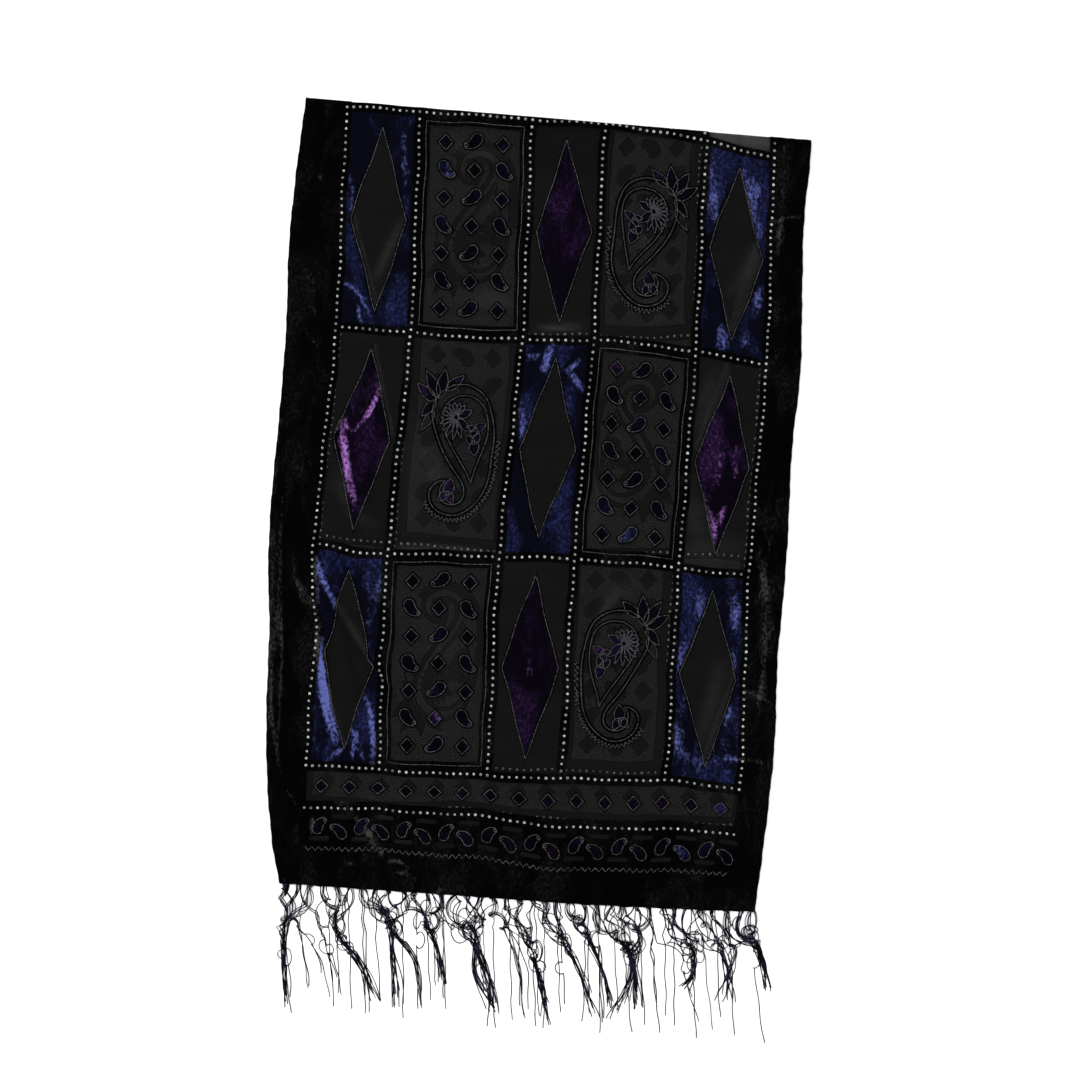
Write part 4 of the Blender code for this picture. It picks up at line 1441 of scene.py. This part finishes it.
# Sizes of what is sewn on, in metres, and the sides of their sections
SILVER_RADIUS = 0.00036
SILVER_SIDES = 5
BEAD_RING_RADIUS = 0.00088
BEAD_WALL_RADIUS = 0.00055
BEAD_SIDES = 8
BEAD_WALL_SIDES = 4
BEAD_SCALES = (0.88, 1.08)
BEAD_LIFT = 0.0003
HEM_RADIUS = 0.00078
BACK_HEM_RADIUS = 0.00070
HEM_SIDES = 8
# The hem's thread runs inside the cloth's edge, in steps, both in mm; the front one lies a little higher
HEM_INSET = 0.6
HEM_STEP = 3.0
HEM_LIFT = 0.00005
KNOT_RADIUS = 0.0009
KNOT_ABOVE_HEM = 0.001
KNOT_SCALES = ((0.8, 0.9, 0.45), (1.3, 1.5, 0.60))
# How high the silver lines and beads sit under the fold, where the cloth lies face down
UNDER_LINE_LIFT = 0.00025
UNDER_BEAD_LIFT = 0.00016
# The shares of the bend between which they go from their full height to this one
TRIM_START = 0.05
TRIM_END = 0.50


def bead_group():
    """A ring bead at every point, facing the way of its lean attribute."""
    sizes = (
        ("Ring Radius", "NodeSocketFloat"),
        ("Wall Radius", "NodeSocketFloat"),
        ("Seed", "NodeSocketInt"),
    )
    group, tree, given = new_group("beads_on_places", sizes)
    ring = ring_of(tree, BEAD_SIDES, given["Ring Radius"])
    wall = ring_of(tree, BEAD_WALL_SIDES, given["Wall Radius"])
    bead = tree.add("GeometryNodeCurveToMesh", None, {"Curve": ring, "Profile Curve": wall})
    lean = tree.add("GeometryNodeInputNamedAttribute", {"data_type": "FLOAT_VECTOR"}, {"Name": "lean"})
    facing = tree.add("FunctionNodeAlignRotationToVector", {"axis": "Z"}, {"Vector": lean.outputs[0]})
    size = tree.add("FunctionNodeRandomValue", {"data_type": "FLOAT"}, {"Seed": given["Seed"]})
    size.inputs[2].default_value, size.inputs[3].default_value = BEAD_SCALES
    sockets = {"Points": given["Geometry"], "Instance": bead.outputs[0]}
    sockets.update({"Rotation": facing.outputs[0], "Scale": size.outputs[1]})
    beads = tree.add("GeometryNodeInstanceOnPoints", None, sockets)
    finish_group(tree, given, beads.outputs[0])
    return group


def grown(name, points, edges, group, inputs, lean=None):
    """The plain mesh that a geometry tree makes on a few points and edges."""
    mesh = bpy.data.meshes.new(name + "_places")
    mesh.from_pydata(points.tolist(), edges, [])
    if lean is not None:
        mesh.attributes.new("lean", "FLOAT_VECTOR", "POINT").data.foreach_set("vector", lean.ravel())
    carrier = new_object(name + "_places", mesh)
    modifier = carrier.modifiers.new("grow", "NODES")
    modifier.node_group = group
    sockets = {item.name: item.identifier for item in group.interface.items_tree if item.in_out == "INPUT"}
    for label, value in inputs.items():
        modifier[sockets[label]] = value
    ready = carrier.evaluated_get(bpy.context.evaluated_depsgraph_get())
    made_mesh = bpy.data.meshes.new_from_object(ready)
    made_mesh.name = name
    made = new_object(name, made_mesh)
    bpy.data.objects.remove(carrier)
    return made


def trim_lift(flat, over, under):
    """Height above the cloth's middle: full where its right side faces up, less where it faces down."""
    _, top = bend_of(flat[:, 0] / 1000)
    along = (top + flat[:, 1] / 1000) * TAKE_UP
    return over + (under - over) * smooth_step(TRIM_START * BEND_LENGTH, TRIM_END * BEND_LENGTH, along)


def line_paths(design, front):
    """The silver lines of one half, laid on the pile; a line that crosses the fold is parted."""
    paths = []
    for line, closed in design.lines:
        flat = wavered(even_steps(line, LINE_STEP, closed))
        here = half_of(flat) == front
        if here.all():
            paths.append((lay(flat, trim_lift(flat, PILE_TOP, UNDER_LINE_LIFT)), closed))
            continue
        if closed:
            flat, here = np.vstack([flat, flat[:1]]), np.append(here, here[0])
        for run in np.split(np.arange(len(flat)), np.nonzero(np.diff(here))[0] + 1):
            if here[run[0]] and len(run) > 1:
                paths.append((lay(flat[run], trim_lift(flat[run], PILE_TOP, UNDER_LINE_LIFT)), False))
    return paths


def make_beads(name, design, front, group, finish):
    flat = wavered(np.array(design.beads, float))
    flat = flat[half_of(flat) == front]
    places = lay(flat, trim_lift(flat, PILE_TOP + BEAD_LIFT, UNDER_BEAD_LIFT))
    inputs = {"Ring Radius": BEAD_RING_RADIUS, "Wall Radius": BEAD_WALL_RADIUS, "Seed": 4, "Finish": finish}
    return grown(name, places, [], group, inputs, outward(flat))


def hem_path(front):
    """The edge of one half, from its fold down one side, along its hem and up the other."""
    end = hem_of(front)
    seam = seam_place(np.array([LEFT_EDGE, RIGHT_EDGE]))
    move = -1.0 if front else 1.0
    left, right = LEFT_EDGE + HEM_INSET, RIGHT_EDGE - HEM_INSET
    inset = end - HEM_INSET * np.sign(end)
    path = [(left, seam[0] + move), (left, inset), (right, inset), (right, seam[1] + move)]
    laid = lay(even_steps(path, HEM_STEP, False), HEM_LIFT if front else 0.0)
    run = np.arange(len(laid)) * HEM_STEP
    laid[:, 0] += 0.00022 * np.sin(run / 2.9) + 0.00025 * np.sin(run / 7.7)
    laid[:, 1] += 0.00024 * np.sin(run / 3.3) + 0.00028 * np.sin(run / 6.1)
    return laid


# The fringe: tufts of loose threads that curl, tangle and gather in locks as they hang
FRONT_SEED = 21
BACK_SEED = 22
FRONT_TUFTS = 19
BACK_TUFTS = 18
TUFT_PITCH = 0.0260
FIRST_TUFT_X = -0.2260
TUFT_THREADS = 6
FIRST_BUNDLE_THREADS = 4
THREAD_PITCH = 0.0010
THREAD_RADIUS = 0.00049
THREAD_SIDES = 4
THREAD_FLOOR = 0.00056
THREAD_POINTS = 240
# How deep a thread starts in its hem, how far a lone one leans, and how far below the fringe's end it may go
THREAD_ROOT = 0.0006
LONE_LEAN = 0.014
END_SLACK = 0.0015
# How high threads lie on one another, in front so many times as high, and how high their curls stand
THREAD_PILE = 0.0007
FRONT_PILE = 2.4
CURL_HEIGHT = 0.0016
# A thinned thread keeps a point for so much turning, in radians, and for so much length
THREAD_TURN = 0.30
THREAD_STEP = 0.0070
# The most of its length that a thread may lack, and the shares that hang alone or make a loop
TIP_LOSS = 0.26
STRAY_SHARE = 0.17
LOOP_SHARE = 0.36
# The tufts to the right of this place are tangled
TANGLED_FROM = 0.095

# The main locks: where each leaves the hem, two places on its way and its tip, in mm on the laid plan
Lock = namedtuple("Lock", "top upper lower tip")
LOCK_ROWS = (
    (-226, -336, -224, -376, -221, -416, -216, -457),
    (-233, -355, -206, -372, -185, -399, -176, -438),
    (-208, -335, -206, -374, -199, -413, -192, -452),
    (-191, -336, -187, -375, -174, -408, -164, -440),
    (-171, -337, -169, -374, -146, -402, -128, -440),
    (-142, -338, -120, -358, -112, -396, -106, -445),
    (-119, -332, -117, -364, -91, -396, -83, -445),
    (-87, -337, -80, -360, -68, -387, -62, -420),
    (-60, -338, -34, -372, -15, -411, -7, -458),
    (-25, -330, -32, -367, -30, -404, -12, -442),
    (-13, -340, 1, -364, 15, -400, 25, -448),
    (9, -340, 22, -372, 35, -408, 47, -452),
    (35, -336, 57, -368, 76, -400, 92, -440),
    (64, -332, 80, -360, 100, -398, 109, -430),
    (92, -336, 116, -361, 125, -396, 110, -441),
    (115, -328, 122, -361, 130, -396, 134, -430),
    (141, -331, 168, -363, 181, -400, 200, -440),
    (163, -331, 184, -358, 187, -388, 176, -410),
    (187, -331, 208, -352, 219, -380, 225, -418),
    (206, -328, 228, -350, 227, -380, 213, -417),
    (228, -329, 244, -346, 256, -370, 264, -402),
)
LOCKS = [Lock(*(np.array(row).reshape(4, 2) / 1000)) for row in LOCK_ROWS]


def lock_at(lock, share):
    """The smooth curve through a lock's four places."""
    places = np.array(lock)
    slopes = np.array([places[1] - places[0], (places[2] - places[0]) / 2, (places[3] - places[1]) / 2])
    slopes = np.vstack([slopes, places[3] - places[2]])
    step = np.clip(np.asarray(share) * 3, 0, 3)
    before = np.minimum(step.astype(int), 2)
    part = (step - before)[:, None]
    return cubic(part, places[before], places[before + 1], slopes[before], slopes[before + 1])


def hem_edge(front):
    """A function that gives a hem's y and height at any x."""
    across = np.linspace(LEFT_EDGE, RIGHT_EDGE, 80)
    laid = lay(np.stack([across, np.full_like(across, hem_of(front))], 1), 0.0)
    return lambda x: (np.interp(x, laid[:, 0], laid[:, 1]), np.interp(x, laid[:, 0], laid[:, 2]))


Bundle = namedtuple("Bundle", "lock wide turns begun end aside")


def make_bundle(random, root):
    """How the threads of one tuft curl together before they hang with a lock."""
    tops = np.array([lock.top[0] for lock in LOCKS])
    lock = LOCKS[np.argmin(np.abs(tops - root - random.normal(0.003, 0.010)))]
    tangled = root > TANGLED_FROM
    wide = random.uniform(0.0050, 0.0078) if tangled else random.uniform(0.0032, 0.0074)
    turns = random.uniform(1.0, 2.2) * random.choice((-1.0, 1.0))
    end = random.uniform(0.40, 0.60) if tangled else random.uniform(0.28, 0.46)
    return Bundle(lock, wide, turns, random.uniform(0, 2 * math.pi), end, random.normal(0, 0.0016))


def thinned(path):
    """The path with fewer points where it runs straight."""
    steps = np.diff(path[:, :2], axis=0)
    way = np.unwrap(np.arctan2(steps[:, 1], steps[:, 0]))
    turned = np.concatenate([[0], np.cumsum(np.abs(np.diff(way)))])
    gone = np.concatenate([[0], np.cumsum(np.linalg.norm(steps, axis=1))])
    measure = np.append(turned, turned[-1]) / THREAD_TURN + gone / THREAD_STEP
    kept = np.unique(np.floor(measure), return_index=True)[1]
    return path[np.append(kept, len(path) - 1)]


def thread_path(random, root, hem_y, hem_z, height, bundle):
    """One thread: out of the hem, round with its tuft in loose curls, then down with its lock."""
    stray = random.random() < STRAY_SHARE
    longest = 1.0 - TIP_LOSS * random.random() ** 1.5
    share = np.linspace(0, longest, THREAD_POINTS)
    start = np.array((root, hem_y + THREAD_ROOT))
    fall = hem_y - FRINGE_END_Y
    own = start + np.stack([LONE_LEAN * share + random.normal(0.0, 0.004) * share**2, -fall * share], 1)
    beside = random.normal(0, 0.0020) * np.cos(share * random.uniform(2.5, 7.5) + random.uniform(0, 3.0))
    beside = beside + bundle.aside + random.normal(0, 0.0034) * smooth_step(0.62, 1.0, share)
    joined = lock_at(bundle.lock, share) + np.stack([beside, np.zeros_like(share)], 1)
    path = own if stray else own + (joined - own) * smooth_step(0.0, bundle.end * 0.9, share)[:, None]

    window = np.clip(share / (bundle.end * random.uniform(0.86, 1.14)), 0, 1)
    wide = bundle.wide * (0.25 if stray else random.uniform(0.70, 1.25))
    swell = np.sin(math.pi * window) ** 0.7 * wide
    around = bundle.begun + random.normal(0, 0.38) + 2 * math.pi * bundle.turns * window
    path = path + np.stack([swell * np.cos(around), swell * 0.9 * np.sin(around)], 1)
    if random.random() < LOOP_SHARE:
        at = random.uniform(0.10, 0.56)
        reach = random.uniform(0.040, 0.075)
        circle = 2 * math.pi * smooth_step(at - reach, at + reach, share)
        size = random.uniform(0.0022, 0.0056) * random.choice((-1.0, 1.0))
        tall = abs(size) * random.uniform(0.8, 1.9)
        path = path + np.stack([size * (1.0 - np.cos(circle)), tall * np.sin(circle)], 1)
    waves = np.sin(share * random.uniform(14, 26) + bundle.begun) * 0.0006
    path[:, 0] += waves * smooth_step(0.1, 0.4, share)
    path[:, 1] = np.minimum(path[:, 1], hem_y - 0.0005 - 0.003 * share)
    path[:, 1] = np.maximum(path[:, 1], FRINGE_END_Y - END_SLACK)
    path[0] = start
    z = hem_z + (height - hem_z) * smooth_step(0.04, 0.34, share)
    z = z + CURL_HEIGHT * np.sin(math.pi * window) * (0.5 + 0.5 * np.sin(around))
    return thinned(np.column_stack([path, np.maximum(z, THREAD_FLOOR)]))


def tuft_middles(front):
    """Where the tufts sit along a hem: the back's lie between the front's."""
    first = FIRST_TUFT_X if front else FIRST_TUFT_X + TUFT_PITCH / 2
    return first + TUFT_PITCH * np.arange(FRONT_TUFTS if front else BACK_TUFTS)


def thread_paths(front):
    """All the threads of one hem, tuft by tuft."""
    random = np.random.default_rng(FRONT_SEED if front else BACK_SEED)
    read = hem_edge(front)
    paths = []
    for middle in tuft_middles(front):
        bundles = [make_bundle(random, middle), make_bundle(random, middle)]
        for thread in range(TUFT_THREADS):
            root = middle + (thread - (TUFT_THREADS - 1) / 2) * THREAD_PITCH
            hem_y, hem_z = read(root)
            height = THREAD_FLOOR + THREAD_PILE * random.random() * (FRONT_PILE if front else 1.0)
            bundle = bundles[0 if thread < FIRST_BUNDLE_THREADS else 1]
            paths.append((thread_path(random, root, hem_y, hem_z, height, bundle), False))
    return paths


def knot_group():
    """A small round knot at every point."""
    sizes = (("Radius", "NodeSocketFloat"), ("Seed", "NodeSocketInt"))
    group, tree, given = new_group("knots_on_places", sizes)
    ball = tree.add("GeometryNodeMeshUVSphere", None, {"Segments": 9, "Rings": 6, "Radius": given["Radius"]})
    turn = tree.add("FunctionNodeRandomValue", {"data_type": "FLOAT_VECTOR"}, {"Seed": given["Seed"]})
    turn.inputs[0].default_value, turn.inputs[1].default_value = KNOT_SCALES
    sockets = {"Points": given["Geometry"], "Instance": ball.outputs[0], "Scale": turn.outputs[0]}
    knots = tree.add("GeometryNodeInstanceOnPoints", None, sockets)
    finish_group(tree, given, knots.outputs[0])
    return group


def knot_places(front):
    read = hem_edge(front)
    x = tuft_middles(front)
    y, z = read(x)
    return np.stack([x, y + KNOT_ABOVE_HEM, z if front else np.full_like(x, KNOT_RADIUS)], 1)


def area_light(name, place, size, power):
    """A round soft light that aims at the middle of the floor."""
    light = bpy.data.lights.new(name, "AREA")
    light.shape = "DISK"
    light.size = size
    light.energy = power
    made = new_object(name, light)
    made.location = place
    made.rotation_euler = (LIGHTS_AIM - Vector(place)).to_track_quat("-Z", "Y").to_euler()


# The lights' places, sizes and powers, and the camera over the cloth, turned as in the photo
LIGHTS = (
    ("ceiling_light", (0.0, 0.0, 3.2), 5.0, 180.0),
    ("window_light", (-1.6, 1.3, 2.2), 1.1, 48.0),
    ("room_light", (1.2, -1.6, 2.6), 2.0, 16.0),
)
LIGHTS_AIM = Vector((0, 0, 0))
CAMERA_PLACE = (0.0044, 0.0320, 2.55)
CAMERA_TURN = 4.0
CAMERA_LENS = 85.0
FLOOR_HALF = 3.0
FLOOR_Z = -0.0001
# The room's own light, and how much brighter the camera sees its walls
ROOM_LIGHT = 0.05
ROOM_SEEN = 0.90


def set_stage():
    """A plain pale floor, soft light and the camera straight above."""
    square = rectangle(-FLOOR_HALF, -FLOOR_HALF, FLOOR_HALF, FLOOR_HALF)
    corners = np.column_stack([square, np.full(4, FLOOR_Z)])
    floor = make_mesh("floor", corners, [(0, 1, 2, 3)], pale_floor())
    world = bpy.data.worlds.new("pale_room")
    world.use_nodes = True
    room = Tree(world.node_tree)
    seen = Amount(room, room.add("ShaderNodeLightPath").outputs["Is Camera Ray"])
    background = world.node_tree.nodes["Background"]
    background.inputs["Color"].default_value = (1.0, 1.0, 1.0, 1.0)
    room.join(ROOM_LIGHT + ROOM_SEEN * seen, background.inputs["Strength"])
    bpy.context.scene.world = world
    for light in LIGHTS:
        area_light(*light)
    lens = bpy.data.cameras.new("camera")
    lens.lens = CAMERA_LENS
    lens.sensor_width = 36.0
    camera = new_object("camera", lens)
    camera.location = CAMERA_PLACE
    camera.rotation_euler = (0.0, 0.0, math.radians(CAMERA_TURN))
    bpy.context.scene.camera = camera
    bpy.context.scene.view_settings.view_transform = "Standard"
    bpy.context.scene.view_settings.look = "None"


# Each velvet where its pile stands, its painted sheen, and its painted highlight where it is crushed
BLACK_VELVET = (colour(0.0003, 0.0003, 0.0003), colour(0.0062, 0.0062, 0.0062), colour(0.030, 0.030, 0.029))
BLUE_VELVET = (colour(0.0011, 0.0013, 0.0037), colour(0.0115, 0.0135, 0.0560), colour(0.070, 0.082, 0.250))
VIOLET_VELVET = (colour(0.0013, 0.0007, 0.0024), colour(0.0230, 0.0085, 0.0420), colour(0.240, 0.105, 0.340))


def main():
    design = whole_design()
    flat, faces, cloths, fronts, glows = cut_cloth(design)
    finishes = {
        BLACK: ("black_pile", velvet("black_velvet", *BLACK_VELVET, 0.8)),
        BLUE: ("blue_pile", velvet("blue_velvet", *BLUE_VELVET, 1.15)),
        VIOLET: ("violet_pile", velvet("violet_velvet", *VIOLET_VELVET, 1.0)),
    }
    ground = georgette()
    silver, beads, thread, hem = silver_thread(), silver_bead(), fringe_thread(), rolled_hem()
    threads, bead_tree, knots = thread_group(), bead_group(), knot_group()

    for front in (True, False):
        half = "front" if front else "back"
        sheet = make_ground(half + "_ground", front_grid() if front else back_grid(), front, ground)
        parts = []
        for cloth, (label, finish) in finishes.items():
            chosen = (cloths == cloth) & (fronts == front)
            parts.append(make_pile(half + "_" + label, flat, faces[chosen], glows[chosen], front, finish))
        inputs = {"Radius": SILVER_RADIUS, "Sides": SILVER_SIDES, "Finish": silver}
        parts.append(grown(half + "_silver_lines", *joined_paths(line_paths(design, front)), threads, inputs))
        parts.append(make_beads(half + "_beads", design, front, bead_tree, beads))
        inputs = {"Radius": HEM_RADIUS if front else BACK_HEM_RADIUS, "Sides": HEM_SIDES, "Finish": hem}
        roll = joined_paths([(hem_path(front), False)])
        parts.append(grown(half + "_rolled_hem", *roll, threads, inputs))
        for piece in [sheet, *parts]:
            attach(piece, "root")
            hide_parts(half + "_half")
        inputs = {"Radius": THREAD_RADIUS, "Sides": THREAD_SIDES, "Finish": thread}
        fringe = grown(half + "_threads", *joined_paths(thread_paths(front)), threads, inputs)
        inputs = {"Radius": KNOT_RADIUS, "Seed": 3, "Finish": thread}
        knot = grown(half + "_knots", knot_places(front), [], knots, inputs)
        for piece in (fringe, knot):
            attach(piece, "root")
            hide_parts(half + "_fringe")
    set_stage()


main()
